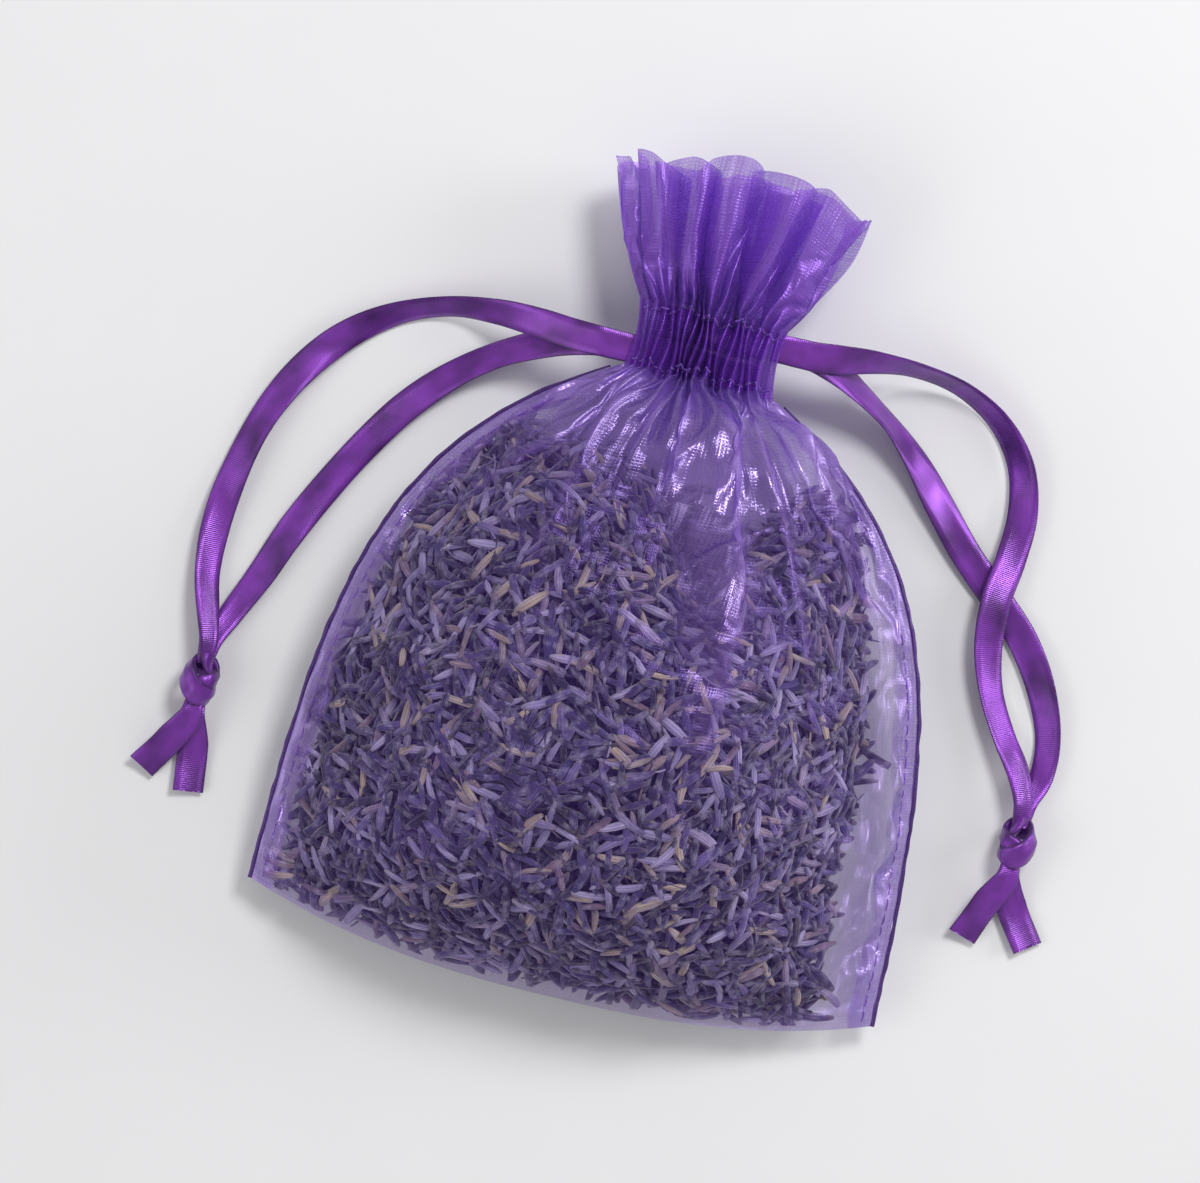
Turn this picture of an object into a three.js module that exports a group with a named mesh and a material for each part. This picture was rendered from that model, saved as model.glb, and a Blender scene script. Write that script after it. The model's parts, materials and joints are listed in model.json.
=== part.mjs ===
// Lavender sachet: a small organza drawstring pouch filled with dried lavender, lying on its back
// with its neck drawn in. Millimetres, +Z up, +Y from the bottom fold to the ruffle, X across.
// The origin is on the table under the middle of the pouch.

import * as THREE from 'three';

// Lengths along the pouch, from the bottom fold to the casing and beyond it
const BODY_LENGTH = 71;
const RUFFLE_LENGTH = 16;
const FOLD_BOW = 5;
const FOLD_BOW_POWER = 2.5;

// Half widths across it
const CORNER_HALF_WIDTH = 36;
const NECK_HALF_WIDTH = 9;
const RUFFLE_HALF_WIDTH = 15.5;
const SHOULDER_RUN = 16.4;
const SIDE_FULLNESS = 2.6;

// Heights above the table, and the swell of each face from the side seams
const NECK_HEIGHT = 9;
const FOLD_HEIGHT = 6;
const CORNER_DROP = 2.5;
const FULLEST_PLACE = 0.42;
const FOLD_BLUNTNESS = 0.55;
const FRONT_RISE = 18.5;
const BACK_DROP = 14;
const NECK_RISE = 4.2;
const RUFFLE_RISE = 7.2;

// The strip beside each seam where the cloth lies slack: the lavender has settled to the left
const LEFT_SLACK = 1.5;
const RIGHT_SLACK = 5.2;
const SLACK_START = 6;
const SLACK_FULL = 26;
const SLACK_SOFTNESS = 0.09;

// Hills that the lavender raises in the front, about 11 mm apart
const HILL_HEIGHT = 0.6;
const HILL_PERIOD = 11;

// The front's folds below the neck: place across it, lean in degrees, reach, half width, height and
// how far the crest lies over to one side
const FOLDS = [
  [1.6, 9, 50, 3, 2.2, 4.2],
  [5, 22, 36, 2, 1.8, -2.4],
  [-1.5, -6, 26, 1.5, 1.3, 1.6],
  [-4.2, -20, 34, 1.8, 1.2, -2],
  [-6.8, -38, 30, 1.5, 1, 1.6],
  [7.2, 36, 44, 2.2, 1.7, 2.4],
  [8.2, 52, 34, 1.6, 1.2, 1.4],
  [3.4, 28, 62, 1, 0.9, 0.7],
];
const FOLD_OPENING = 14;
const FOLD_NARROWING = 0.35;

// Gathers
const GATHERS = 5;
const GATHER_DEPTH = 0.5;
const GATHER_RUN = 14;
const RUFFLE_FOLD_SHARE = 0.42;
const RUFFLE_BOW = 0.12;
const RUFFLE_FLARE_POWER = 0.7;
const RUFFLE_SPREAD_POWER = 0.8;

// Cloth, thread, ribbon and the gap kept between pieces that touch
const CLOTH = 0.6;
const GAP = 0.3;
const SIDE_NOTCH = 1.1;
const SEAM_RADIUS = 0.5;
const SEAM_SHARE = 0.96;
const THREAD_RADIUS = 0.25;
const STITCH_INSET = 0.9;
const RIBBON_WIDTH = 3.5;
const RIBBON_THICKNESS = 0.7;
const RIBBON_EDGE = 0.8;
const CASING_EASE = 1;
const STRAND_LIFT = 0.5;
const STRAND_INSET = 1.8;
const DRAW_IN = 4;
const KNOT_LENGTH = 6;
const KNOT_RADIUS = 2.5;

// The stretch of the neck's arch that a ribbon follows inside the casing, and where it turns back
const RUN_START = -0.7;
const RUN_END = 0.66;
const TURN_PLACE = 0.78;
const TURN_HEIGHT = 0.85;

// The lavender inside
const FILL_SIDE_SLACK = 1.5;
const FILL_BOTTOM_SLACK = 3;
const FILL_NECK_SLACK = 10;
const FILL_TOP_SLACK = 0.6;
const FILL_EDGE = 0.4;
const FILL_END_POWER = 6;
const FILL_END_ROUNDNESS = 0.5;
const FILL_DIP_PLACE = 5.5;
const FILL_DIP_WIDTH = 5.2;
const FILL_DIP = 11;
const FILL_LINING = 1.4;
const FILL_LINING_RUN = 3;
const BUD_RELIEF = 1.8;

// Mesh density
const FRONT_COLUMNS = 36;
const FRONT_ROWS = 24;
const NECK_COLUMNS = 30;
const BACK_COLUMNS = 20;
const BACK_ROWS = 12;
const FILL_COLUMNS = 26;
const FILL_ROWS = 26;
const RUFFLE_ROWS = 4;
const SEAM_STEPS = 20;
const STITCH_STEPS = 30;
const THREAD_SIDES = 6;
const KNOT_SIDES = 14;
const RUN_STEP = 1.4;
const STRAND_STEP = 3.2;
const TAIL_STEP = 1.7;

// Places worked out from the sizes
const CASING_HEIGHT = 2 * RIBBON_WIDTH + CASING_EASE;
const TOTAL_LENGTH = BODY_LENGTH + CASING_HEIGHT + RUFFLE_LENGTH;
const BOTTOM_Y = -TOTAL_LENGTH / 2;
const NECK_Y = BOTTOM_Y + BODY_LENGTH;
const CASING_TOP_Y = NECK_Y + CASING_HEIGHT;
const LANE_INSET = CASING_EASE / 3 + RIBBON_WIDTH / 2;
const LEFT_LANE_Y = NECK_Y + LANE_INSET;
const RIGHT_LANE_Y = CASING_TOP_Y - LANE_INSET;

const COLOURS = {
  panel: { color: 0x7d68b4, roughness: 0.55 },
  ruffle: { color: 0x7a38c4, roughness: 0.5 },
  casing: { color: 0x5e2aa0, roughness: 0.5 },
  thread: { color: 0x3a1c5c, roughness: 0.7 },
  ribbon: { color: 0x8a34b4, roughness: 0.3 },
  lavender: { color: 0x5b4a80, roughness: 0.9 },
};

const mix = (from, to, share) => from + (to - from) * share;

// Across the pouch, u runs from -1 at the left seam to 1 at the right one
const across = (u) => 1 - Math.abs(u) ** SIDE_FULLNESS;

// Along the body, v runs from 0 at the bottom fold to 1 at the neck
const belowNeck = (v) => (1 - v) * BODY_LENGTH;

function halfWidth(v) {
  const widening = 1 - Math.exp(-belowNeck(v) / SHOULDER_RUN);
  const whole = 1 - Math.exp(-BODY_LENGTH / SHOULDER_RUN);
  return mix(NECK_HALF_WIDTH, CORNER_HALF_WIDTH, widening / whole);
}

function alongBody(u, v) {
  const start = BOTTOM_Y + FOLD_BOW * Math.abs(u) ** FOLD_BOW_POWER;
  return mix(start, NECK_Y - GAP / 2, v);
}

function seamHeight(u, v) {
  const fold = (NECK_HEIGHT - FOLD_HEIGHT) * (1 - v) ** 3;
  const corner = CORNER_DROP * u ** 4 * (1 - v) ** 2;
  return NECK_HEIGHT - fold - corner;
}

// The swell of a filled face from the fold to the neck, 1 at its fullest
function swell(v) {
  const taper = (FOLD_BLUNTNESS * (1 - FULLEST_PLACE)) / FULLEST_PLACE;
  return (v / FULLEST_PLACE) ** FOLD_BLUNTNESS * ((1 - v) / (1 - FULLEST_PLACE)) ** taper;
}

const frontRise = (v) => FRONT_RISE * swell(v) + NECK_RISE * v ** 4;
const backDrop = (v) => BACK_DROP * swell(v) + NECK_RISE * v ** 4;
const gather = (u) => GATHER_DEPTH * Math.cos(Math.PI * GATHERS * u);

const slackWidth = (u, v) => (u > 0 ? RIGHT_SLACK : LEFT_SLACK)
  * THREE.MathUtils.smoothstep(belowNeck(v), SLACK_START, SLACK_FULL);

// The front's swell across: 1 in the middle, and next to nothing over the slack strips
function dome(u, v) {
  const arch = across(u / (1 - slackWidth(u, v) / halfWidth(v)));
  return (arch + Math.hypot(arch, SLACK_SOFTNESS)) / (1 + Math.hypot(1, SLACK_SOFTNESS));
}

function hills(x, y) {
  const turn = (2 * Math.PI) / HILL_PERIOD;
  const near = Math.sin(turn * x + 0.4) * Math.sin(1.07 * turn * y + 1.2);
  const wide = Math.sin(0.55 * turn * x - 0.9 * turn * y + 2);
  return HILL_HEIGHT * (0.65 * near + 0.35 * wide);
}

function folds(x, y) {
  let height = 0;
  for (const [place, lean, reach, width, rise, over] of FOLDS) {
    const angle = THREE.MathUtils.degToRad(lean);
    const [dx, dy] = [x - place, y - NECK_Y - 1];
    const down = dx * Math.sin(angle) - dy * Math.cos(angle);
    const opening = THREE.MathUtils.smoothstep(down, 0, FOLD_OPENING);
    const start = THREE.MathUtils.smoothstep(down, -1, 5);
    const strength = start * (1 - THREE.MathUtils.smoothstep(down, 0.35 * reach, reach));
    const beside = dx * Math.cos(angle) + dy * Math.sin(angle) - over * strength;
    const crest = Math.exp(-((beside / (width * mix(FOLD_NARROWING, 1, opening))) ** 2));
    height += rise * crest * strength;
  }
  return height;
}

function frontOuter(u, v) {
  const pleat = gather(u) * Math.exp(-belowNeck(v) / GATHER_RUN);
  const [x, y] = [u * halfWidth(v), alongBody(u, v)];
  const fold = folds(x, y) * THREE.MathUtils.smoothstep(belowNeck(v), 0, SLACK_START);
  const lift = frontRise(v) + pleat + fold + hills(x, y) * swell(v);
  return seamHeight(u, v) + GAP / 2 + CLOTH + lift * dome(u, v);
}

const backCurve = (u, v) => seamHeight(u, v) - GAP / 2 - CLOTH - backDrop(v) * across(u);
const backOuter = (u, v) => Math.max(0, backCurve(u, v));

// A closed solid between an upper and a lower sheet that share one outline
function solidBetween(upper, lower, columns, rows) {
  const positions = [];
  const index = [];
  for (const sheet of [upper, lower]) {
    for (let row = 0; row <= rows; row += 1) {
      for (let column = 0; column <= columns; column += 1) {
        const point = sheet((2 * column) / columns - 1, row / rows);
        positions.push(point.x, point.y, point.z);
      }
    }
  }
  const layer = (columns + 1) * (rows + 1);
  const at = (side, column, row) => side * layer + row * (columns + 1) + column;
  const quad = (a, b, c, d) => index.push(a, b, c, a, c, d);
  for (let row = 0; row < rows; row += 1) {
    for (let column = 0; column < columns; column += 1) {
      const [right, up] = [column + 1, row + 1];
      quad(at(0, column, row), at(0, right, row), at(0, right, up), at(0, column, up));
      quad(at(1, column, row), at(1, column, up), at(1, right, up), at(1, right, row));
    }
  }
  for (let column = 0; column < columns; column += 1) {
    quad(at(1, column, 0), at(1, column + 1, 0), at(0, column + 1, 0), at(0, column, 0));
    quad(at(0, column, rows), at(0, column + 1, rows), at(1, column + 1, rows), at(1, column, rows));
  }
  for (let row = 0; row < rows; row += 1) {
    quad(at(0, 0, row), at(0, 0, row + 1), at(1, 0, row + 1), at(1, 0, row));
    quad(at(1, columns, row), at(1, columns, row + 1), at(0, columns, row + 1), at(0, columns, row));
  }
  const geometry = new THREE.BufferGeometry();
  geometry.setAttribute('position', new THREE.Float32BufferAttribute(positions, 3));
  geometry.setIndex(index);
  return geometry;
}

const bodyPoint = (u, v, z) => new THREE.Vector3(u * halfWidth(v), alongBody(u, v), z);

function frontPanel() {
  const upper = (u, v) => bodyPoint(u, v, frontOuter(u, v));
  const lower = (u, v) => bodyPoint(u, v, frontOuter(u, v) - CLOTH);
  return solidBetween(upper, lower, FRONT_COLUMNS, FRONT_ROWS);
}

function backPanel() {
  const upper = (u, v) => bodyPoint(u, v, backOuter(u, v) + CLOTH);
  const lower = (u, v) => bodyPoint(u, v, backOuter(u, v));
  return solidBetween(upper, lower, BACK_COLUMNS, BACK_ROWS);
}

// How far below the neck the lavender begins: further under the broad fold right of the middle
const fillLine = (x) => FILL_NECK_SLACK
  + FILL_DIP * Math.exp(-(((x - FILL_DIP_PLACE) / FILL_DIP_WIDTH) ** 2));

// The fill keeps clear of the slack strips, the bottom fold and the neck, and its buds stand up in
// lumps: every second point of its faces
function lavenderFill() {
  const inset = (u, v) => u * (1 - (slackWidth(u, v) + FILL_SIDE_SLACK) / halfWidth(v));
  const place = (u, s) => {
    let v = s;
    for (let turn = 0; turn < FILL_ROWS; turn += 1) {
      const line = fillLine(inset(u, v) * halfWidth(v));
      v = mix(v, mix(FILL_BOTTOM_SLACK, BODY_LENGTH - line, s) / BODY_LENGTH, 0.5);
    }
    return [inset(u, v), v];
  };
  const plump = (s) => (1 - Math.abs(2 * s - 1) ** FILL_END_POWER) ** FILL_END_ROUNDNESS;
  const hollow = (u, s) => {
    const lump = Math.cos((Math.PI * FILL_COLUMNS * (u + 1)) / 2) * Math.cos(Math.PI * FILL_ROWS * s);
    return BUD_RELIEF * (0.5 - 0.5 * lump);
  };
  const upper = (u, s) => {
    const [w, v] = place(u, s);
    const cloth = (frontRise(v) + hills(w * halfWidth(v), alongBody(w, v)) * swell(v)) * dome(w, v);
    const room = cloth - FILL_TOP_SLACK - FILL_EDGE - hollow(u, s);
    const swollen = Math.max(0, room) * plump(s) * across(u) ** FILL_END_ROUNDNESS;
    return bodyPoint(w, v, seamHeight(w, v) + FILL_EDGE + swollen);
  };
  const lower = (u, s) => {
    const [w, v] = place(u, s);
    const swollen = seamHeight(w, v) - FILL_EDGE - backDrop(v) * plump(s) * across(u);
    const off = FILL_LINING * THREE.MathUtils.smoothstep(backCurve(w, v), -FILL_LINING_RUN, 0);
    const lining = backOuter(w, v) + CLOTH + GAP + off;
    return bodyPoint(w, v, Math.max(lining, swollen) + 0.5 * hollow(u, s) * plump(s) * across(u));
  };
  return solidBetween(upper, lower, FILL_COLUMNS, FILL_ROWS);
}

// The neck's arch, from the seam plane up. side is 1 for the front and -1 for the back
const archOuter = (u) => GAP / 2 + CLOTH + (NECK_RISE + gather(u)) * across(u);
const archInner = (u) => GAP / 2 + (NECK_RISE - GATHER_DEPTH) * across(u);
const ARCH_REACH = (1 - SIDE_NOTCH / NECK_RISE) ** (1 / SIDE_FULLNESS);

function casing(side) {
  const shape = new THREE.Shape();
  for (let i = 0; i <= NECK_COLUMNS; i += 1) {
    const u = mix(-ARCH_REACH, ARCH_REACH, i / NECK_COLUMNS);
    const corner = [u * NECK_HALF_WIDTH, side * archOuter(u)];
    if (i === 0) shape.moveTo(...corner);
    else shape.lineTo(...corner);
  }
  for (let i = NECK_COLUMNS; i >= 0; i -= 1) {
    const u = mix(-ARCH_REACH, ARCH_REACH, i / NECK_COLUMNS);
    shape.lineTo(u * NECK_HALF_WIDTH, side * archInner(u));
  }
  const depth = CASING_HEIGHT - GAP;
  const geometry = new THREE.ExtrudeGeometry(shape, { depth, bevelEnabled: false });
  geometry.rotateX(Math.PI / 2);
  geometry.translate(0, CASING_TOP_Y - GAP / 2, NECK_HEIGHT);
  return geometry;
}

function ruffle(side) {
  const rise = (u, t) => {
    const share = mix(GATHER_DEPTH / NECK_RISE, RUFFLE_FOLD_SHARE, t);
    const flare = mix(NECK_RISE, RUFFLE_RISE, t ** RUFFLE_FLARE_POWER);
    return flare * across(u) * (1 - share + share * Math.cos(Math.PI * GATHERS * u));
  };
  const point = (u, t, z) => {
    const x = u * mix(NECK_HALF_WIDTH, RUFFLE_HALF_WIDTH, t ** RUFFLE_SPREAD_POWER);
    const length = (RUFFLE_LENGTH - GAP / 2) * t * (1 - RUFFLE_BOW * u * u);
    return new THREE.Vector3(x, CASING_TOP_Y + GAP / 2 + length, z);
  };
  const far = (u, t) => point(u, t, NECK_HEIGHT + side * (GAP / 2 + CLOTH + rise(u, t)));
  const near = (u, t) => point(u, t, NECK_HEIGHT + side * (GAP / 2 + rise(u, t)));
  const [upper, lower] = side > 0 ? [far, near] : [near, far];
  return solidBetween(upper, lower, NECK_COLUMNS, RUFFLE_ROWS);
}

// A round cord of thread along a curve
function thread(points, radius, steps) {
  const section = new THREE.Shape();
  for (let i = 0; i < THREAD_SIDES; i += 1) {
    const angle = (2 * Math.PI * i) / THREAD_SIDES;
    const corner = [radius * Math.cos(angle), radius * Math.sin(angle)];
    if (i === 0) section.moveTo(...corner);
    else section.lineTo(...corner);
  }
  const extrudePath = new THREE.CatmullRomCurve3(points);
  return new THREE.ExtrudeGeometry(section, { extrudePath, steps, bevelEnabled: false });
}

// The sewn edge that stands just outside the two panels. side is -1 for the left and 1 for the right
function sideSeam(side) {
  const points = [];
  const clearance = GAP + SEAM_RADIUS;
  for (let row = 0; row <= FRONT_ROWS; row += 1) {
    const v = (SEAM_SHARE * row) / FRONT_ROWS;
    const step = 0.01;
    const here = new THREE.Vector2(halfWidth(v), alongBody(1, v));
    const next = new THREE.Vector2(halfWidth(v + step), alongBody(1, v + step));
    const tangent = next.sub(here).normalize();
    const x = here.x + tangent.y * clearance;
    const y = here.y - tangent.x * clearance;
    points.push(new THREE.Vector3(side * x, y, seamHeight(1, v)));
  }
  return thread(points, SEAM_RADIUS, SEAM_STEPS);
}

// One row of casing stitches, laid over the gathers of the front or the back
function stitchRow(side, y) {
  const points = [];
  const lift = GAP + THREAD_RADIUS;
  const step = 0.001;
  for (let i = 0; i <= STITCH_STEPS; i += 1) {
    const u = mix(-ARCH_REACH, ARCH_REACH, i / STITCH_STEPS);
    const climb = (archOuter(u + step) - archOuter(u - step)) / (2 * step * NECK_HALF_WIDTH);
    const length = Math.hypot(1, climb);
    const x = u * NECK_HALF_WIDTH - (lift * climb) / length;
    points.push(new THREE.Vector3(x, y, NECK_HEIGHT + side * (archOuter(u) + lift / length)));
  }
  return thread(points, THREAD_RADIUS, STITCH_STEPS);
}

// Satin ribbon as a flat tube along a curve, its width level where it starts
function ribbon(points, stepLength) {
  const width = RIBBON_WIDTH / 2;
  const thick = RIBBON_THICKNESS / 2;
  const flat = width * RIBBON_EDGE;
  const extrudePath = new THREE.CatmullRomCurve3(points);
  const { normals, binormals } = extrudePath.computeFrenetFrames(1, false);
  const turned = Math.abs(normals[0].z) < Math.abs(binormals[0].z);
  const corners = [
    [thick, -flat], [thick, flat], [thick / 2, width], [-thick / 2, width],
    [-thick, flat], [-thick, -flat], [-thick / 2, -width], [thick / 2, -width],
  ].map(([x, y]) => (turned ? new THREE.Vector2(y, x) : new THREE.Vector2(x, y)));
  const section = new THREE.Shape(corners);
  const steps = Math.ceil(extrudePath.getLength() / stepLength);
  return new THREE.ExtrudeGeometry(section, { extrudePath, steps, bevelEnabled: false });
}

// Inside the casing the ribbon follows the arch, then turns towards the other half of the casing.
// hand is -1 for the left ribbon, whose turn is at the right end, and 1 for the right ribbon
function ribbonRun(hand, side) {
  const y = hand < 0 ? LEFT_LANE_Y : RIGHT_LANE_Y;
  const depth = GAP + RIBBON_THICKNESS / 2;
  const points = [];
  const spans = 6;
  for (let i = 0; i <= spans; i += 1) {
    const u = mix(RUN_START, RUN_END, i / spans);
    const z = NECK_HEIGHT + side * (archInner(u) - depth);
    points.push(new THREE.Vector3(-hand * u * NECK_HALF_WIDTH, y, z));
  }
  const turnX = -hand * TURN_PLACE * NECK_HALF_WIDTH;
  const end = NECK_HEIGHT + TURN_HEIGHT + (side * GAP) / 2;
  const rise = side > 0 ? RIBBON_THICKNESS : -2 * RIBBON_THICKNESS - GAP;
  points.push(new THREE.Vector3(turnX, y, end + rise));
  points.push(new THREE.Vector3(turnX, y, end));
  return ribbon(points, RUN_STEP);
}

// Routes of the four free strands, from the casing to the knots, chosen by hand. Each place is
// given beyond the neck's side, along Y from the ribbon's lane in the casing, and above the table
const LEFT_FRONT_ROUTE = [
  [6, 0.1, 8.5], [10, 0.5, 6.5], [15, 0.7, 4.1], [20.5, 0.1, 2.3], [26, -2, 1.6],
  [31, -5.7, 1.5], [35, -10.7, 1.5], [37.9, -16.6, 1.5], [39.6, -23, 1.5], [40.4, -29.6, 1.5],
  [40.1, -35.6, 1.8], [38.9, -40, 2.8], [38.1, -42.8, 3.2], [38, -44.2, 3.2],
];
const LEFT_BACK_ROUTE = [
  [6, -0.6, 7.2], [9.4, -1.8, 4.9], [13.8, -4, 2.7], [18.3, -7.4, 1.5], [22.4, -11.8, 1.2],
  [26, -17.2, 1.2], [29.2, -23, 1.2], [32, -28.9, 1.2], [34.2, -34.6, 1.1], [36.3, -39.4, 1.4],
  [37.6, -42.8, 2.1], [37.8, -44.2, 2.2],
];
const RIGHT_FRONT_ROUTE = [
  [6, 0.4, 8.6], [10, 1.1, 6.7], [15, 1.5, 4.2], [20.5, 0.7, 2.3], [25.4, -1.9, 1.6],
  [28.9, -6.1, 1.5], [30.4, -11.3, 1.5], [30.3, -16.7, 1.8], [29.7, -21.9, 2.4], [30.1, -27.1, 2],
  [31.7, -32.1, 1.5], [34.2, -36.5, 1.7], [36.7, -40.2, 2.7], [37.9, -43.1, 3.2], [38.1, -44.5, 3.2],
];
const RIGHT_BACK_ROUTE = [
  [6, -0.9, 7.1], [9.2, -2.5, 4.8], [13.4, -5.1, 2.6], [17.4, -8.6, 1.4], [21.2, -12.9, 1.1],
  [25.2, -17.3, 0.9], [29.7, -21.4, 0.7], [33.9, -25.5, 0.9], [37.3, -30.7, 1.2], [39.3, -36.1, 1.1],
  [39.4, -40.5, 1.5], [38.6, -43.1, 2.1], [38.5, -44.5, 2.2],
];

function place(hand, [beyond, along, height]) {
  const laneY = hand < 0 ? LEFT_LANE_Y : RIGHT_LANE_Y;
  return new THREE.Vector3(hand * (NECK_HALF_WIDTH + beyond), laneY + along, height);
}

// A free strand starts inside the neck's side and is drawn in along X as the mouth opens, so it
// stays level until what is drawn in has passed the casing's side notch
function strand(hand, side, route) {
  const height = NECK_HEIGHT + side * STRAND_LIFT;
  const level = DRAW_IN - (1 - ARCH_REACH) * NECK_HALF_WIDTH;
  const start = [[-STRAND_INSET, 0, height], [level / 2, 0, height], [level, 0, height]];
  const points = [...start, ...route].map((point) => place(hand, point));
  return ribbon(points, STRAND_STEP);
}

// Each knot sits a gap beyond the ends of its two strands, and its two cut tails a gap beyond it
const KNOT_PROFILE = [[0, -0.5], [0.6, -0.5], [1, -0.3], [0.78, 0], [1, 0.3], [0.6, 0.5], [0, 0.5]];

function knotPlace(hand, frontRoute, backRoute) {
  const top = place(hand, frontRoute.at(-1)).lerp(place(hand, backRoute.at(-1)), 0.5);
  top.y -= GAP + KNOT_LENGTH / 2;
  return top;
}

function knot(middle) {
  const corner = ([out, along]) => new THREE.Vector2(out * KNOT_RADIUS, along * KNOT_LENGTH);
  const geometry = new THREE.LatheGeometry(KNOT_PROFILE.map(corner), KNOT_SIDES);
  geometry.translate(middle.x, middle.y, middle.z);
  return geometry;
}

// A tail's points are given from the middle of the knot's lower end
function tail(middle, offsets) {
  const start = new THREE.Vector3(middle.x, middle.y - KNOT_LENGTH / 2 - GAP, middle.z);
  const points = offsets.map((offset) => new THREE.Vector3(...offset).add(start));
  return ribbon(points, TAIL_STEP);
}

const LEFT_FRONT_TAIL = [[-0.2, 0, 0.5], [-0.2, -1, 0.5], [-1.9, -4.2, -0.4], [-4.4, -8, -1.6]];
const LEFT_BACK_TAIL = [[0.1, 0, -0.5], [0.1, -1, -0.5], [0.7, -4, -1.7], [1.4, -9.6, -1.8]];
const RIGHT_FRONT_TAIL = [[-0.2, 0, 0.5], [-0.2, -1, 0.5], [-1.7, -4.2, -0.4], [-3.4, -8.6, -1.6]];
const RIGHT_BACK_TAIL = [[0.1, 0, -0.5], [0.1, -1, -0.5], [1.3, -4, -1.7], [4.2, -8.2, -1.8]];

const sachet = new THREE.Group();

function add(name, geometry, look) {
  const material = new THREE.MeshStandardMaterial({ ...COLOURS[look], metalness: 0 });
  const mesh = new THREE.Mesh(geometry, material);
  mesh.name = name;
  sachet.add(mesh);
}

add('front_panel', frontPanel(), 'panel');
add('back_panel', backPanel(), 'panel');
add('left_side_seam', sideSeam(-1), 'thread');
add('right_side_seam', sideSeam(1), 'thread');
add('lavender_fill', lavenderFill(), 'lavender');

for (const [half, side] of [['front', 1], ['back', -1]]) {
  add(`${half}_casing`, casing(side), 'casing');
  add(`${half}_ruffle`, ruffle(side), 'ruffle');
  add(`${half}_lower_stitching`, stitchRow(side, NECK_Y + STITCH_INSET), 'thread');
  add(`${half}_upper_stitching`, stitchRow(side, CASING_TOP_Y - STITCH_INSET), 'thread');
  add(`left_ribbon_${half}_run`, ribbonRun(-1, side), 'ribbon');
  add(`right_ribbon_${half}_run`, ribbonRun(1, side), 'ribbon');
}

const leftKnot = knotPlace(-1, LEFT_FRONT_ROUTE, LEFT_BACK_ROUTE);
add('left_front_strand', strand(-1, 1, LEFT_FRONT_ROUTE), 'ribbon');
add('left_back_strand', strand(-1, -1, LEFT_BACK_ROUTE), 'ribbon');
add('left_knot', knot(leftKnot), 'ribbon');
add('left_front_tail', tail(leftKnot, LEFT_FRONT_TAIL), 'ribbon');
add('left_back_tail', tail(leftKnot, LEFT_BACK_TAIL), 'ribbon');

const rightKnot = knotPlace(1, RIGHT_FRONT_ROUTE, RIGHT_BACK_ROUTE);
add('right_front_strand', strand(1, 1, RIGHT_FRONT_ROUTE), 'ribbon');
add('right_back_strand', strand(1, -1, RIGHT_BACK_ROUTE), 'ribbon');
add('right_knot', knot(rightKnot), 'ribbon');
add('right_front_tail', tail(rightKnot, RIGHT_FRONT_TAIL), 'ribbon');
add('right_back_tail', tail(rightKnot, RIGHT_BACK_TAIL), 'ribbon');

export default sachet;
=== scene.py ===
"""Lavender sachet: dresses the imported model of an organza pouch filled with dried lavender.

Lengths in the shape functions are millimetres, and meshes are made in metres.
"""

import json
import math
from functools import partial

import bpy
import numpy as np
from bpy.props import FloatProperty, FloatVectorProperty, IntProperty, PointerProperty
from mathutils import Euler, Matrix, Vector
from mathutils.bvhtree import BVHTree

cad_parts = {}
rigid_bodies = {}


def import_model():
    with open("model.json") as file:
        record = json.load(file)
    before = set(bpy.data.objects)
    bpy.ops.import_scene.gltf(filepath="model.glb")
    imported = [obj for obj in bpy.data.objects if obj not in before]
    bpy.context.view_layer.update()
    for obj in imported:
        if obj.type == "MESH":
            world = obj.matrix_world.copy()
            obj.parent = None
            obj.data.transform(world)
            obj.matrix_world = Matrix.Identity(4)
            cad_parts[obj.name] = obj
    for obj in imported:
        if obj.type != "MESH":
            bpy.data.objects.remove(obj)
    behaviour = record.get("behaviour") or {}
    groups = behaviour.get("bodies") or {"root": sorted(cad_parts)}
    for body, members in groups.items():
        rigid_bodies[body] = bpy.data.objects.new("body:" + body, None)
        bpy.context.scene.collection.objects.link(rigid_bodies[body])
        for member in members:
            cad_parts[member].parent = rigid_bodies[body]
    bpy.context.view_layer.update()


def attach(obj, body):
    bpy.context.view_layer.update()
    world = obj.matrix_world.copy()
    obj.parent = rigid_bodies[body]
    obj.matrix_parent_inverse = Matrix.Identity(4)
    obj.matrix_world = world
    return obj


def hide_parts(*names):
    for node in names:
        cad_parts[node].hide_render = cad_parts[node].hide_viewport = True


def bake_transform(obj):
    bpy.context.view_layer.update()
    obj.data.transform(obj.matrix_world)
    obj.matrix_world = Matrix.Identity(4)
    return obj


bl_info = {
    "name": "Lavender Sachet",
    "version": (1, 0, 0),
    "blender": (4, 5, 0),
    "location": "View3D > Sidebar > Sachet",
    "description": "Makes the cloth, ribbons, stitching and dried buds of a lavender sachet",
    "category": "Object",
}

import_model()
MM = 0.001

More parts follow.
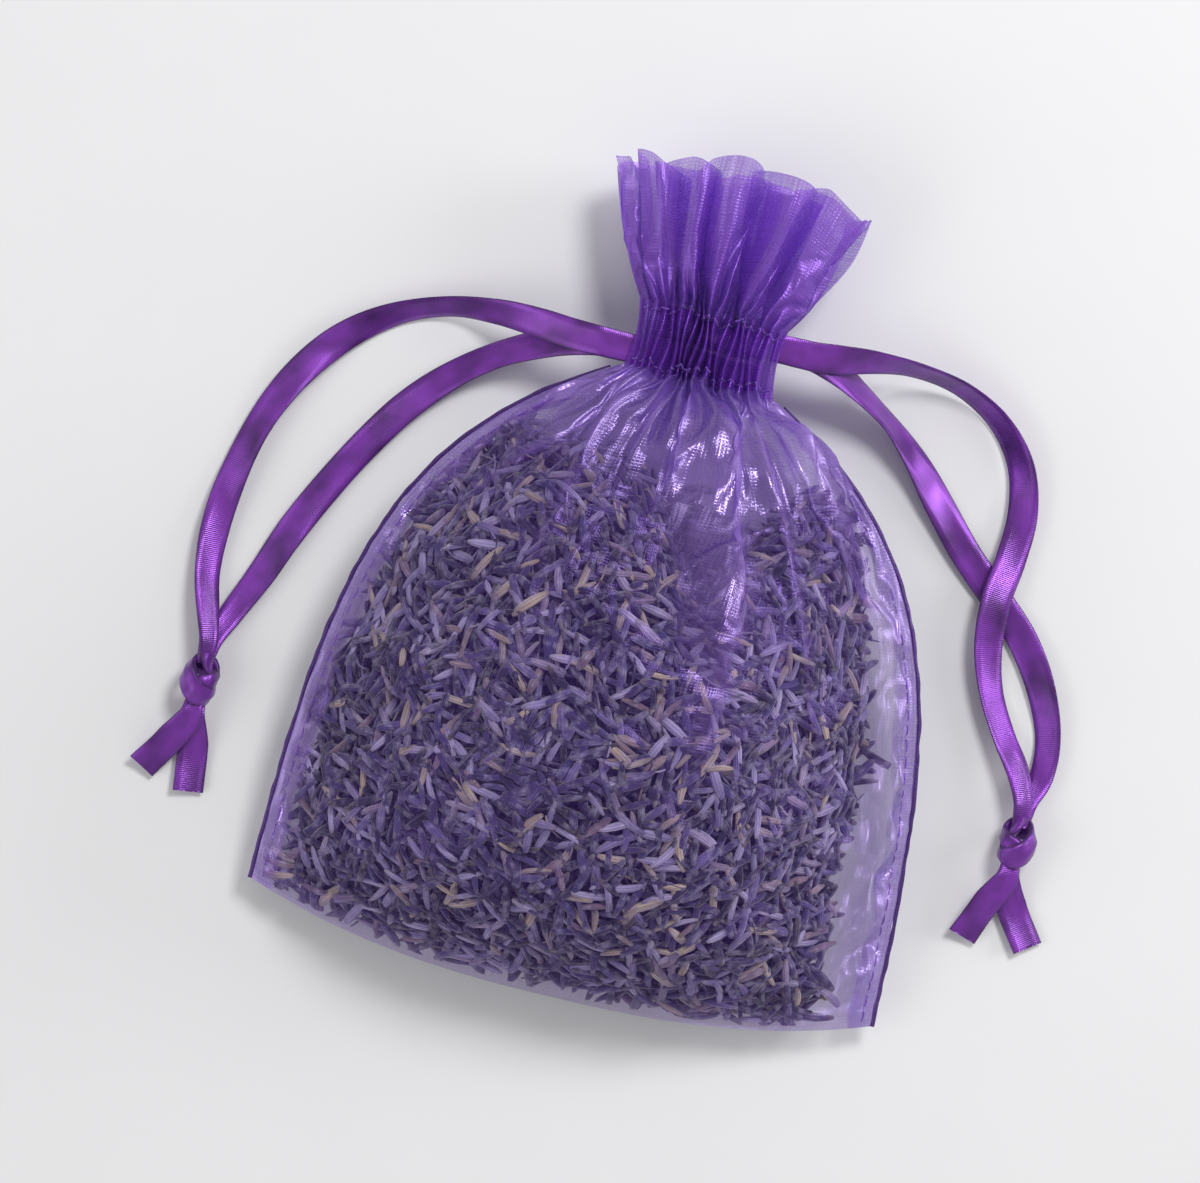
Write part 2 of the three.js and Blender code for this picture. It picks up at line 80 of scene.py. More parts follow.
# The pouch's own sizes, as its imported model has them
BOTTOM_Y, NECK_Y, CASING_TOP_Y, TIP_Y = -47.5, 23.5, 31.5, 47.5
BODY_LENGTH, RUFFLE_LENGTH = NECK_Y - BOTTOM_Y, TIP_Y - CASING_TOP_Y
CORNER_HALF, NECK_HALF, RUFFLE_HALF = 36.0, 9.0, 15.5
NECK_HEIGHT, FOLD_HEIGHT, CORNER_DROP = 9.0, 6.0, 2.5
FRONT_RISE, BACK_DROP, NECK_RISE, RUFFLE_RISE = 18.5, 14.0, 4.2, 7.2
SHOULDER_RUN, SIDE_FULLNESS, GATHERS = 16.4, 2.6, 5
LEFT_LANE_Y, RIGHT_LANE_Y = 25.583, 29.417
CASING_REACH = 0.95
STITCHED_ROWS = (0.11, 0.89)
SEAM_INSET, SEAM_LENGTH = 1.15, 78
LEFT_SLACK, RIGHT_SLACK = 1.5, 5.2
HILL_HEIGHT, HILL_PERIOD = 0.6, 11
FLAT_HALF = 38.0
FRONT, BACK = 1, -1
SIDES = (("front", FRONT, "mouth_front"), ("back", BACK, "pouch"))
HANDS = (("left", -1, LEFT_LANE_Y), ("right", 1, RIGHT_LANE_Y))
# A sheet settles at ten times its size, where the solver is steadier. The reach is in points of its grid.
SETTLING_SCALE, SETTLING_STEPS, SWELLING_REACH = 10, 16, 7.0
# The buds are made in a left and a right half that meet here
BUDS_SPLIT_X = -1.5
# Depths of the strewn layers under the face of the lavender
BUD_LAYERS = (0.25, 1.25, 2.25)
BUD_KINDS = ("plump", "slim", "plump", "open", "slim", "plump", "slim", "stalk", "open", "slim")
# The bend of each kind of bud, and its half thickness along its length
BUD_PROFILES = {
    "plump": (0.03, [(0.02, 0.4), (0.14, 0.72), (0.42, 1.0), (0.7, 0.98), (0.9, 0.74), (0.98, 0.4)]),
    "slim": (0.06, [(0.02, 0.34), (0.14, 0.58), (0.42, 0.8), (0.7, 0.8), (0.9, 0.58), (0.98, 0.3)]),
    "open": (-0.04, [(0.02, 0.36), (0.14, 0.62), (0.42, 0.86), (0.7, 0.86), (0.9, 0.94), (0.99, 0.78)]),
    "stalk": (0.1, [(0.02, 0.22), (0.2, 0.26), (0.45, 0.24), (0.7, 0.25), (0.9, 0.24), (0.98, 0.2)]),
}
BUD_TONES = [(0.0, "0d0919"), (0.22, "23183b"), (0.42, "4a366e"), (0.54, "3c3270"), (0.66, "72609c"),
             (0.8, "c2b4e4"), (0.91, "87697a"), (0.98, "cfb9a2")]


# Small helpers for numbers

def mix(low, high, share):
    return low + (high - low) * share


def ease(x, low, high):
    """0 below low, 1 above high and smooth in between."""
    t = np.clip((x - low) / (high - low), 0, 1)
    return t * t * (3 - 2 * t)


def hex_colour(text):
    """A colour written as it shows on the screen, in linear light."""
    values = [int(text[i:i + 2], 16) / 255 for i in (0, 2, 4)]
    return tuple(v / 12.92 if v <= 0.04045 else ((v + 0.055) / 1.055) ** 2.4 for v in values)


def smooth_noise(x, y, seed):
    """Gradient noise between about -1 and 1, with one lump per unit."""
    side = 64
    angles = np.random.default_rng(seed).uniform(0, 2 * math.pi, (side, side))
    x, y = x + 0.37, y + 0.61
    x0, y0 = np.floor(x).astype(int), np.floor(y).astype(int)
    fx, fy = x - x0, y - y0

    def corner(i, j):
        angle = angles[(x0 + i) % side, (y0 + j) % side]
        return np.cos(angle) * (fx - i) + np.sin(angle) * (fy - j)

    sx, sy = fx ** 3 * (fx * (6 * fx - 15) + 10), fy ** 3 * (fy * (6 * fy - 15) + 10)
    return 1.5 * mix(mix(corner(0, 0), corner(1, 0), sx), mix(corner(0, 1), corner(1, 1), sx), sy)


def spline(points, count):
    """A smooth line of count points through the given ones, evenly spaced along its length."""
    p = np.array(points, float)
    p = np.vstack([2 * p[0] - p[1], p, 2 * p[-1] - p[-2]])
    fine = []
    for a, b, c, d in zip(p, p[1:], p[2:], p[3:]):
        steps = [max(np.linalg.norm(n - m), 1e-6) ** 0.5 for m, n in ((a, b), (b, c), (c, d))]
        knots = np.cumsum([0] + steps)
        t = np.linspace(knots[1], knots[2], 24, endpoint=False)[:, None]
        t0, t1, t2, t3 = knots
        ab = (t1 - t) / (t1 - t0) * a + (t - t0) / (t1 - t0) * b
        bc = (t2 - t) / (t2 - t1) * b + (t - t1) / (t2 - t1) * c
        cd = (t3 - t) / (t3 - t2) * c + (t - t2) / (t3 - t2) * d
        abc = (t2 - t) / (t2 - t0) * ab + (t - t0) / (t2 - t0) * bc
        bcd = (t3 - t) / (t3 - t1) * bc + (t - t1) / (t3 - t1) * cd
        fine.append((t2 - t) / (t2 - t1) * abc + (t - t1) / (t2 - t1) * bcd)
    fine = np.vstack(fine + [p[-2][None]])
    along = np.concatenate([[0], np.cumsum(np.linalg.norm(np.diff(fine, axis=0), axis=1))])
    at = np.linspace(0, along[-1], count)
    return np.stack([np.interp(at, along, fine[:, k]) for k in range(fine.shape[1])], axis=1)


# Meshes

def mesh_piece(name, points, faces, material, attributes=None, uv=None):
    """A smooth piece from points in millimetres, with values for its points and a map for its corners."""
    mesh = bpy.data.meshes.new(name)
    mesh.from_pydata((np.asarray(points, float) * MM).tolist(), [], [list(map(int, f)) for f in faces])
    mesh.shade_smooth()
    for key, values in (attributes or {}).items():
        layer = mesh.attributes.new(key, "FLOAT", "POINT")
        layer.data.foreach_set("value", np.asarray(values, np.float32).ravel())
    if uv is not None:
        corners = np.zeros(len(mesh.loops), np.int32)
        mesh.loops.foreach_get("vertex_index", corners)
        layer = mesh.uv_layers.new(name="cloth")
        layer.data.foreach_set("uv", np.asarray(uv, np.float32)[corners].ravel())
    piece = bpy.data.objects.new(name, mesh)
    bpy.context.scene.collection.objects.link(piece)
    if material is not None:
        mesh.materials.append(material)
    return piece


def grid_faces(rows, columns, closed=False, flip=False):
    """Quads over a grid of rows by columns points. closed joins the last column to the first."""
    r, c = np.meshgrid(np.arange(rows - 1), np.arange(columns if closed else columns - 1), indexing="ij")
    n = (c + 1) % columns
    quads = np.stack([r * columns + c, r * columns + n, (r + 1) * columns + n, (r + 1) * columns + c], axis=-1)
    quads = quads.reshape(-1, 4)
    return quads[:, ::-1] if flip else quads


def unit(vectors):
    """Vectors along the last axis, brought to length 1."""
    return vectors / np.maximum(np.linalg.norm(vectors, axis=-1, keepdims=True), 1e-6)


def along_line(values, count):
    """The given values, spaced evenly and joined by straight stretches, as count numbers."""
    return np.interp(np.linspace(0, 1, count), np.linspace(0, 1, len(values)), values)


def cap_faces(rings, sides):
    """Triangles that close a tube's ends, whose two middle points follow the points of its rings."""
    first, last, end = rings * sides, rings * sides + 1, (rings - 1) * sides
    faces = [[first, (i + 1) % sides, i] for i in range(sides)]
    return faces + [[last, end + i, end + (i + 1) % sides] for i in range(sides)]


def band(path, sections):
    """Points and faces of a closed tube: path is N by 3, sections gives each ring's points as N by K by 3."""
    rings, sides = sections.shape[:2]
    points = np.vstack([sections.reshape(-1, 3), path[:1], path[-1:]])
    return points, [*grid_faces(rings, sides, closed=True), *cap_faces(rings, sides)]


def level_frames(path, rolls):
    """For a strap: its width direction, level unless rolled, and its face's direction, at each point."""
    tangent = unit(np.gradient(path, axis=0))
    width = unit(np.cross(tangent, [0, 0, 1]))
    face = np.cross(width, tangent)
    turn = np.radians(rolls)[:, None]
    return width * np.cos(turn) + face * np.sin(turn), face * np.cos(turn) - width * np.sin(turn)


def strap(name, route, count, width, thickness, rolls, material, widths=(1, 1)):
    """A flat woven strap along a route, rolled by the angles given from its start to its end, with its path and
    its length."""
    path = spline(route, count)
    roll = np.pad(along_line(rolls, count), 6, mode="edge")
    across, face = level_frames(path, np.convolve(roll, np.ones(13) / 13, mode="valid"))
    share = along_line(widths, count)
    outline = [(-1, 0), (-0.94, 1), (-0.5, 0.8), (0, 0.74), (0.5, 0.8), (0.94, 1),
               (1, 0), (0.94, -1), (0.5, -0.8), (0, -0.74), (-0.5, -0.8), (-0.94, -1)]
    cup = 0.35 * thickness
    sections = np.stack([
        path + across * (w * width / 2 * share)[:, None] + face * (t * thickness / 2 + cup * (w * w - 0.5))
        for w, t in outline
    ], axis=1)
    points, faces = band(path, sections)
    along = np.concatenate([[0], np.cumsum(np.linalg.norm(np.diff(path, axis=0), axis=1))])
    uv = np.array([[a, 0.5 + 0.5 * w] for a in along for w, _ in outline] + [[0, 0.5], [along[-1], 0.5]])
    return mesh_piece(name, points, faces, material, uv=uv), path, along[-1]


def sheet_piece(name, points, side, material=None, state=None, flat=None):
    """One side's sheet of cloth from a grid of points, facing out, with its state and its place on the flat cloth."""
    rows, columns = points.shape[:2]
    uv = None if flat is None else np.stack(flat, axis=-1).reshape(-1, 2)
    faces = grid_faces(rows, columns, flip=side == BACK)
    return mesh_piece(name, points.reshape(-1, 3), faces, material, state, uv)


# The pouch's outline and its swell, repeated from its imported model

def half_width(v):
    widening = 1 - np.exp(-(1 - v) * BODY_LENGTH / SHOULDER_RUN)
    return mix(NECK_HALF, CORNER_HALF, widening / (1 - math.exp(-BODY_LENGTH / SHOULDER_RUN)))


def along_body(u, v):
    return mix(BOTTOM_Y + 5 * np.abs(u) ** 2.5, NECK_Y, v)


def seam_height(u, v):
    return NECK_HEIGHT - (NECK_HEIGHT - FOLD_HEIGHT) * (1 - v) ** 3 - CORNER_DROP * u ** 4 * (1 - v) ** 2


def swell(v):
    low = 0.012
    v = np.clip(v - low * (1 - np.exp(-v / low)), 0, 1)
    return (v / 0.42) ** 0.55 * ((1 - v) / 0.58) ** (0.55 * 0.58 / 0.42)


def rise(v, side):
    return (FRONT_RISE if side == FRONT else BACK_DROP) * swell(v) + NECK_RISE * v ** 4


def slack_width(u, v):
    """Width of the slack strip beside each seam: the lavender lies more to the left."""
    below = (1 - v) * BODY_LENGTH
    left = LEFT_SLACK + 0.5 * np.sin(below / 9)
    right = RIGHT_SLACK + 0.9 * np.sin(below / 8 + 1)
    return np.where(u > 0, right, left) * ease(below, 6, 26)


def dome(u, v):
    """1 along the middle, easing to almost nothing over the slack strip beside each seam."""
    strip = slack_width(u, v)
    reach = 1 - strip / half_width(v)
    a = 1 - (np.abs(u) / reach) ** SIDE_FULLNESS
    soft = 0.09
    return (a + np.sqrt(a * a + soft * soft)) / (1 + math.sqrt(1 + soft * soft))


def hills(x, y):
    """The broad lumps that the lavender raises in the cloth."""
    turn = 2 * math.pi / HILL_PERIOD
    near = np.sin(turn * x + 0.4) * np.sin(1.07 * turn * y + 1.2)
    return HILL_HEIGHT * (0.65 * near + 0.35 * np.sin(0.55 * turn * x - 0.9 * turn * y + 2))


def neck_gather(u, side):
    """The tight gathers of the neck, from -1 to 1, as the ribbons draw them in."""
    drift = neck_drift(u, side)
    uneven = 0.98 + 0.22 * np.sin(6.3 * u + 2 * side)
    broad = 0.25 * np.cos(math.pi * GATHERS * u + 0.6 * drift)
    return broad + 0.75 * uneven * np.cos(math.pi * 19 * u + 3 * drift + side)


def neck_drift(u, side):
    return 0.6 * np.sin(4.1 * u + side) + 0.45 * np.sin(9.7 * u + 2 * side)


# The cloth of the body

# Folds that run down from the neck: place across the neck, lean from straight down in degrees,
# reach, width, height and how far the crest falls over to one side
FRONT_FOLDS = [
    (1.6, 9, 50, 3.0, 2.2, 4.2), (5.0, 22, 36, 2.0, 1.8, -2.4), (-1.5, -6, 26, 1.5, 1.3, 1.6),
    (-4.2, -20, 34, 1.8, 1.2, -2.0), (-6.8, -38, 30, 1.5, 1.0, 1.6), (7.2, 36, 44, 2.2, 1.7, 2.4),
    (0.4, 3, 18, 1.0, 0.9, -0.8), (-8.0, -55, 26, 1.3, 0.9, -1.4), (8.2, 52, 34, 1.6, 1.2, 1.4),
    (3.4, 28, 62, 0.8, 0.9, 0.7), (-3.0, -14, 48, 0.6, 0.5, -0.4), (6.4, 44, 48, 0.7, 0.9, -0.6),
]
# The broad pleat of doubled cloth: its place under the neck and its lean to the right
PLEAT = (3.2, 0.11)
BACK_FOLDS = [
    (-2.4, -12, 40, 2.4, 1.6, 2.2), (3.0, 15, 32, 1.7, 1.2, -1.5), (6.4, 36, 30, 1.5, 1.1, 1.3),
    (-6.2, -34, 34, 1.6, 1.1, -1.3), (0.5, 2, 24, 1.2, 0.9, 0.9), (8.2, 56, 24, 1.2, 0.8, -0.9),
    (-8.2, -54, 24, 1.2, 0.8, 0.9),
]


def body_sheet(u, v, side, folds=True):
    """The cloth of one side of the body as points, and how slack, gathered and folded over it is."""
    x = u * half_width(v)
    y = along_body(u, v)
    below = (1 - v) * BODY_LENGTH
    inward = (1 - np.abs(u)) * half_width(v)
    from_fold = y - along_body(u, 0 * v)
    full = dome(u, v)
    lift = rise(v, side) * full
    strip = slack_width(u, v)
    loose_top = 1 - ease(below, fill_line(x, side) - 4, fill_line(x, side) + 5)
    held = ease(inward, strip * 0.7, strip * 1.2 + 2) * ease(from_fold, 0.5, 3) * (1 - loose_top)
    # slack also paints the cloth paler in its material: painted light shining through the slack cloth
    slack = np.clip(1 - held, 0, 1)
    edge = ease(inward, 0, 1.5)
    fold_edge = ease(from_fold, 0, 2.5)
    # lumps of the fill, buckles of the slack strip and the bottom fold, and crumples where the cloth is slack
    lumps = hills(x, y) * swell(v) + 0.25 * smooth_noise(x / 4.6, y / 4.6, 23 + side)
    grains = 0.13 * smooth_noise(x / 1.5, y / 1.5, 29 + side)
    bow = smooth_noise(x * 0 + side * 9, y / 14, 5)
    pucker = (0.4 + 0.17 * strip) * np.sin(2 * math.pi * (y + 0.5 * inward) / 7.6 + 2.6 * bow)
    pucker = pucker * np.exp(-inward / (1.5 + 0.8 * strip))
    hem_pucker = 0.4 * np.sin(2 * math.pi * x / 9.1 + 1.5 * smooth_noise(x / 15, x * 0 + side, 6))
    hem_pucker = hem_pucker * np.exp(-from_fold / 2.4)
    warp = 0.9 * smooth_noise(x / 13, y / 13, 31)
    crumple = (1 - 2.2 * np.abs(smooth_noise(7 * u + warp, y / 17 - 0.4 * warp, 37 + side))
               + 0.45 * (1 - 2.2 * np.abs(smooth_noise(13 * u - 1.5 * warp, y / 9 + warp, 39 + side))))
    crumple = 0.8 * crumple * slack + 0.08 * crumple
    ridge_place = mix(0.9, 0.6 * strip + 0.7 * smooth_noise(y / 11, 0 * y + side, 33), ease(strip, 2, 4))
    along_seam = np.clip(0.55 + 0.9 * smooth_noise(y / 13 + 2, 0 * y + 3 * side + np.sign(u), 35), 0, 1.2)
    ridge = np.exp(-((inward - ridge_place) / (0.35 + 0.16 * strip)) ** 2)
    crumple = crumple + 0.22 * strip * along_seam * ridge
    relief = (lumps + grains) * (1 - 0.6 * slack) * ease(below, 2, 12) + pucker + hem_pucker
    relief = (relief + crumple * ease(below, 3, 10)) * edge * fold_edge
    middle_full = np.clip(full, 0, 1)
    neck = (0.35 + 1.4 * neck_gather(u, side)) * np.exp(-below / 3.6) * middle_full
    neck = neck + 0.75 * neck_gather(u, side) * (np.exp(-below / 15) - np.exp(-below / 3.6)) * middle_full
    layers = 0 * x
    if folds:
        for place, lean, reach, width, height, over in (FRONT_FOLDS if side == FRONT else BACK_FOLDS):
            angle = math.radians(lean)
            down = np.array([math.sin(angle), -math.cos(angle)])
            right = np.array([math.cos(angle), math.sin(angle)])
            dx, dy = x - place, y - (NECK_Y + 1)
            s = dx * down[0] + dy * down[1]
            spread = mix(0.35, 1, ease(s, 0, 14))
            p = (dx * right[0] + dy * right[1] + 0.8 * np.sin(s / 9 + place)) / (width * spread)
            strength = np.exp(-p * p) * ease(s, -1, 5) * (1 - ease(s, 0.35 * reach, reach))
            strength = strength * edge * ease(below, 0, 6)
            neck = neck + height * strength
            layers = layers + strength * (0.5 + 0.5 * np.tanh(3 * p * np.sign(over)))
            x = x + over * strength * right[0]
            y = y + over * strength * right[1]
    rest = mix(mix(0.16, 0.75, np.clip(2 * full, 0, 1)), 0.6, np.exp(-below / 3)) * mix(0.5, 1, fold_edge)
    up = rest + lift + neck + relief
    z = seam_height(u, v) + side * up
    if side == BACK:
        floor = 0.12
        z = floor + 0.5 * ((z - floor) + np.sqrt((z - floor) ** 2 + 0.35))
        z = mix(seam_height(u, v) - 0.16, z, ease(inward, 0, 3) * ease(from_fold, 0, 2))
    turned_in = 1 - ease(inward + 0.25 * smooth_noise(y / 5, 0 * y + side, 57), 2.3, 2.7)
    # gathered: denser, deeper cloth near the neck and at the turned-in edges, with painted shade that deepens it
    # further in the valleys of the gathers and less on their ridges
    gathered = np.exp(-below / 6) * (0.7 - 0.3 * neck_gather(u, side)) + 0.2 * np.exp(-below / 14) + 0.4 * turned_in
    gathered = np.clip(gathered, 0, 1)
    if side == FRONT:
        across = u * half_width(v) - PLEAT[0] - PLEAT[1] * below + 0.8 * np.sin(below / 8)
        pleat = np.exp(-(across / mix(2.2, 4.6, np.exp(-((below - 14) / 14) ** 2))) ** 4) * ease(below, 3, 12)
        uneven = 0.85 + 0.3 * smooth_noise(4 * across, below / 9, 59)
        layers = layers + 0.62 * pleat * (1 - ease(below, 28, 52)) * uneven
    y = y + row_wave(u, side, 0) * np.exp(-below / 2.5)
    # the last rows run into the casing's lower edge
    sewn_in = (np.exp(-below / 2.5) * ease(1 - np.abs(u), 0, 0.04))[..., None]
    points = mix(np.stack([x, y, z], axis=-1), casing_point(u, 0, side), sewn_in)
    return points, {"slack": slack, "gathered": gathered, "folded": np.clip(layers, 0, 1)}


def fill_line(x, side):
    """How far below the neck the lavender begins: lowest under the broad fold right of the middle."""
    if side == BACK:
        return 12 + 2 * np.sin(x / 7)
    return 10 + 1.6 * np.sin(x / 5.5 + 1) + 11 * np.exp(-((x - 5.5) / 5.2) ** 2)


def body_grid(columns, rows, low_u=-1.0, high_u=1.0, low_v=0.0, high_v=1.0):
    """Places over the body, closer together near the neck."""
    u = np.linspace(low_u, high_u, columns)
    v = mix(low_v, high_v, 1 - (1 - np.linspace(0, 1, rows)) ** 1.35)
    return np.meshgrid(u, v)


def spread(coarse, fine):
    """Weights that carry values from coarse points to fine ones along a cubic spline."""
    t = np.linspace(0, coarse - 1, fine)
    i = np.minimum(t.astype(int), coarse - 2)
    f = t - i
    weights = np.zeros((fine, coarse))
    shares = ((1 - f) ** 3, 3 * f ** 3 - 6 * f ** 2 + 4, -3 * f ** 3 + 3 * f ** 2 + 3 * f + 1, f ** 3)
    for k, w in enumerate(shares):
        np.add.at(weights, (np.arange(fine), np.clip(i + k - 1, 0, coarse - 1)), w / 6)
    return weights


def carried(moved, rows, columns):
    """Values of a coarse grid carried to a finer one."""
    along, across = spread(moved.shape[0], rows), spread(moved.shape[1], columns)
    return np.einsum("ri,ijk,cj->rck", along, moved, across)


def lavender_surface(side):
    """The face of the lavender that a simulated sheet lies on, a little under the cloth."""
    u, v = body_grid(70, 70, -0.99, 0.99, 0.006, 0.95)
    height = np.maximum(fill_height(u, v, side) - 0.1, 0.05)
    return np.stack([u * half_width(v), along_body(u, v), seam_height(u, v) + side * height], axis=-1)


def without_swelling(moved):
    """The creases of a sheet's movement, without the broad swelling of the whole sheet."""
    smooth = []
    for count in moved.shape[:2]:
        apart = np.subtract.outer(np.arange(count), np.arange(count))
        near = np.exp(-apart ** 2 / (2 * SWELLING_REACH ** 2))
        smooth.append(near / near.sum(axis=1, keepdims=True))
    return moved - np.einsum("ri,ijk,cj->rck", smooth[0], moved, smooth[1])


def settle(points, side, growth, pull, reach, free_end=False):
    """How far each point of a sheet moves in a short cloth simulation, with growth as its spare cloth. The body's
    sheet is held all round and lies on the lavender, and with free_end a sheet hangs from its first row."""
    rows, columns = points.shape[:2]
    scene = bpy.context.scene
    sheet = sheet_piece("settling_sheet", points * SETTLING_SCALE, side)
    held_rows = (0, 1) if free_end else (0, rows - 1)
    edge = [r * columns + c for r in range(rows) for c in range(columns) if r in held_rows or c in (0, columns - 1)]
    sheet.vertex_groups.new(name="held").add(edge, 1.0, "REPLACE")
    made = [sheet]
    if not free_end:
        fill = sheet_piece("settling_fill", lavender_surface(side) * SETTLING_SCALE, side)
        fill.modifiers.new("Collision", "COLLISION")
        set_all(fill.collision, thickness_outer=0.002, cloth_friction=3)
        made.append(fill)
    cloth = sheet.modifiers.new("Cloth", "CLOTH")
    set_all(cloth.settings, quality=6, mass=0.1, tension_stiffness=18, compression_stiffness=18, shear_stiffness=6,
            bending_stiffness=0.08, air_damping=4, vertex_group_mass="held", shrink_min=-growth)
    cloth.settings.effector_weights.gravity = pull
    set_all(cloth.collision_settings, distance_min=0.002, collision_quality=3)
    set_all(cloth.point_cache, frame_start=1, frame_end=30)
    first = scene.frame_current
    for step in range(1, SETTLING_STEPS + 1):
        scene.frame_set(step)
    found = np.zeros(rows * columns * 3, np.float32)
    sheet.evaluated_get(bpy.context.evaluated_depsgraph_get()).data.vertices.foreach_get("co", found)
    for piece in made:
        mesh = piece.data
        bpy.data.objects.remove(piece)
        bpy.data.meshes.remove(mesh)
    scene.frame_set(first)
    moved = found.reshape(points.shape).astype(float) / MM / SETTLING_SCALE - points
    if not free_end:
        moved = without_swelling(moved)
    length = np.linalg.norm(moved, axis=-1, keepdims=True)
    return moved * reach * np.tanh(length / reach) / np.maximum(length, 1e-6)


def body_cloth(name, side, material):
    columns, rows = 280, 190
    u, v = body_grid(columns, rows)
    points, state = body_sheet(u, v, side)
    coarse = body_sheet(*body_grid(120, 100), side)[0]
    pull, reach = (0.15, 1.3) if side == FRONT else (0.0, 0.5)
    moved = carried(settle(coarse, side, 0.05, pull, reach), rows, columns)
    edge = ease((1 - np.abs(u)) * half_width(v), 0, 1.2)
    edge = edge * ease(v * BODY_LENGTH, 0, 1.5) * ease((1 - v) * BODY_LENGTH, 0, 1.5)
    points = points + moved * edge[..., None]
    if side == BACK:
        points[..., 2] = np.maximum(points[..., 2], 0.1)
    return sheet_piece(name, points, side, material, state, (u * FLAT_HALF, v * BODY_LENGTH * 1.1))


# The casing and the ruffle

def row_wave(u, side, row):
    """How the stitched rows of the casing ripple along the gathers: row 0 is the lower and 1 the upper."""
    wave = 0.4 * np.sin(8.3 * u + 2.1 * side + 2.4 * row) + 0.3 * np.sin(19 * u + row + side)
    return (wave + 0.22 * neck_gather(u, side)) * (1 - np.abs(u) ** 6)


def casing_point(u, q, side):
    """The cloth of the casing: q runs from its lower edge to its upper one."""
    full = 1 - np.abs(u) ** SIDE_FULLNESS
    lower, upper = STITCHED_ROWS
    bulge = 0.55 * np.sin(math.pi * np.clip((q - lower) / (upper - lower), 0, 1))
    for row in STITCHED_ROWS:
        bulge = bulge - 0.25 * np.exp(-((q - row) / 0.06) ** 2)
    depth = 1.55 + 0.15 * np.sin(7 * q + 3 * u)
    out = 0.6 + (NECK_RISE + 0.5 + depth * neck_gather(u, side) + bulge) * full
    x = u * NECK_HALF * (1 - 0.05 * np.sin(math.pi * q)) + 0.25 * np.sin(14 * u + 5 * q) * full
    y = mix(NECK_Y + row_wave(u, side, 0), CASING_TOP_Y + row_wave(u, side, 1), q)
    return np.stack([x, y, NECK_HEIGHT + side * out], axis=-1)


def casing_cloth(name, side, material):
    columns, rows = 300, 24
    u, q = np.meshgrid(np.linspace(-CASING_REACH, CASING_REACH, columns), np.linspace(0, 1, rows))
    # The gathered value is highest in the valleys of the gathers: painted shade in the casing's colour.
    state = {"slack": 0 * u, "gathered": 0.6 - 0.35 * neck_gather(u, side), "folded": 0 * u}
    return sheet_piece(name, casing_point(u, q, side), side, material, state, (u * FLAT_HALF, 80 + q * 8))


def ruffle_point(u, t, side):
    """The cloth beyond the casing: t runs from the casing to its tips. Its folds are uneven, and fall over as it
    fans out."""
    full = 1 - np.abs(u) ** SIDE_FULLNESS
    at_casing = CASING_REACH * u
    drift, gather = neck_drift(at_casing, side), neck_gather(at_casing, side)
    uneven = 1.25 * np.sin(2.3 * u + 0.9 * side) + 0.75 * np.sin(5.2 * u + 2.4 * side)
    uneven = uneven + 0.3 * smooth_noise(u * 3 + 5, t * 1.6, 41 + side)
    phase = math.pi * 5.6 * u + mix(0.6 * drift, uneven, ease(t, 0, 0.7))
    deep = 1 + 0.4 * smooth_noise(u * 2.4 + 9, t * 0.6, 43 + side)
    share = mix(0.14, 0.5, t ** 0.8) * deep
    height = mix(NECK_RISE + 0.35, RUFFLE_RISE - 0.6, t ** 0.7)
    broad = 0.25 * np.cos(math.pi * GATHERS * at_casing + 0.6 * drift)
    tight = gather - broad * (1 - np.exp(-t * 4))
    out = 0.6 + height * full * (1 - share + share * np.cos(phase)) + 1.4 * tight * np.exp(-t * 1.9) * full
    out = out + 0.85 * np.cos(math.pi * 11 * u + 2 + 2.2 * drift) * (1 - np.exp(-6 * t)) * full
    out = out + 0.45 * t * full * np.sin(2 * phase + 0.8)
    fall = 2.1 * np.sin(phase + 0.5 + 1.6 * smooth_noise(u * 2 + 3, t * 0, 45 + side)) + 0.5 * np.sin(2.3 * phase)
    x = u * mix(NECK_HALF * 0.95, RUFFLE_HALF - 0.6, t ** 0.8) + fall * t ** 0.8 * np.clip(full + 0.25, 0, 1)
    length = RUFFLE_LENGTH * (1 - 0.09 * u * u) - 0.8 + 0.8 * np.cos(phase + 0.6) * t
    length = length + 1.1 * smooth_noise(u * 3.4 + 2, t * 0, 47 + side)
    hem = 0.25 * np.sin(31 * u + 4 * drift) * ease(t, 0.8, 1)
    x = x + 0.7 * np.sin(5 * t + side) * t * u ** 5
    y = CASING_TOP_Y + (length + hem) * t + row_wave(at_casing, side, 1) * np.exp(-7 * t)
    points = np.stack([x, y, NECK_HEIGHT + side * (out + hem)], axis=-1)
    return mix(points, casing_point(at_casing, 1, side), np.exp(-t * RUFFLE_LENGTH / 1.5)[..., None])


def ruffle_cloth(name, side, material):
    columns, rows = 300, 70
    u, t = np.meshgrid(np.linspace(-1, 1, columns), np.linspace(0, 1, rows))
    points = ruffle_point(u, t, side)
    coarse = ruffle_point(*np.meshgrid(np.linspace(-1, 1, 130), np.linspace(0, 1, 30)), side)
    moved = carried(settle(coarse, side, 0.09, 0.05, 1.4, free_end=True), rows, columns)
    points = points + moved * ease(t, 0.05, 0.3)[..., None] * ease(1 - np.abs(u), 0, 0.05)[..., None]
    closing = ease(np.abs(u), 0.93, 1)
    points[..., 2] = mix(points[..., 2], NECK_HEIGHT + side * 0.1, closing)
    # The gathered value is highest in the valleys of the gathers: painted shade in the ruffle's colour near the
    # casing.
    gathered = mix(0.7 - 0.35 * neck_gather(CASING_REACH * u, side), 0.2, ease(t, 0, 0.75))
    # slack grows towards the tips, which the material paints paler: painted light shining through the ruffle's tips.
    state = {"slack": 0.5 * t, "gathered": gathered, "folded": 0 * u}
    return sheet_piece(name, points, side, material, state, (u * FLAT_HALF, 88 + t * 16))


# Geometry Nodes

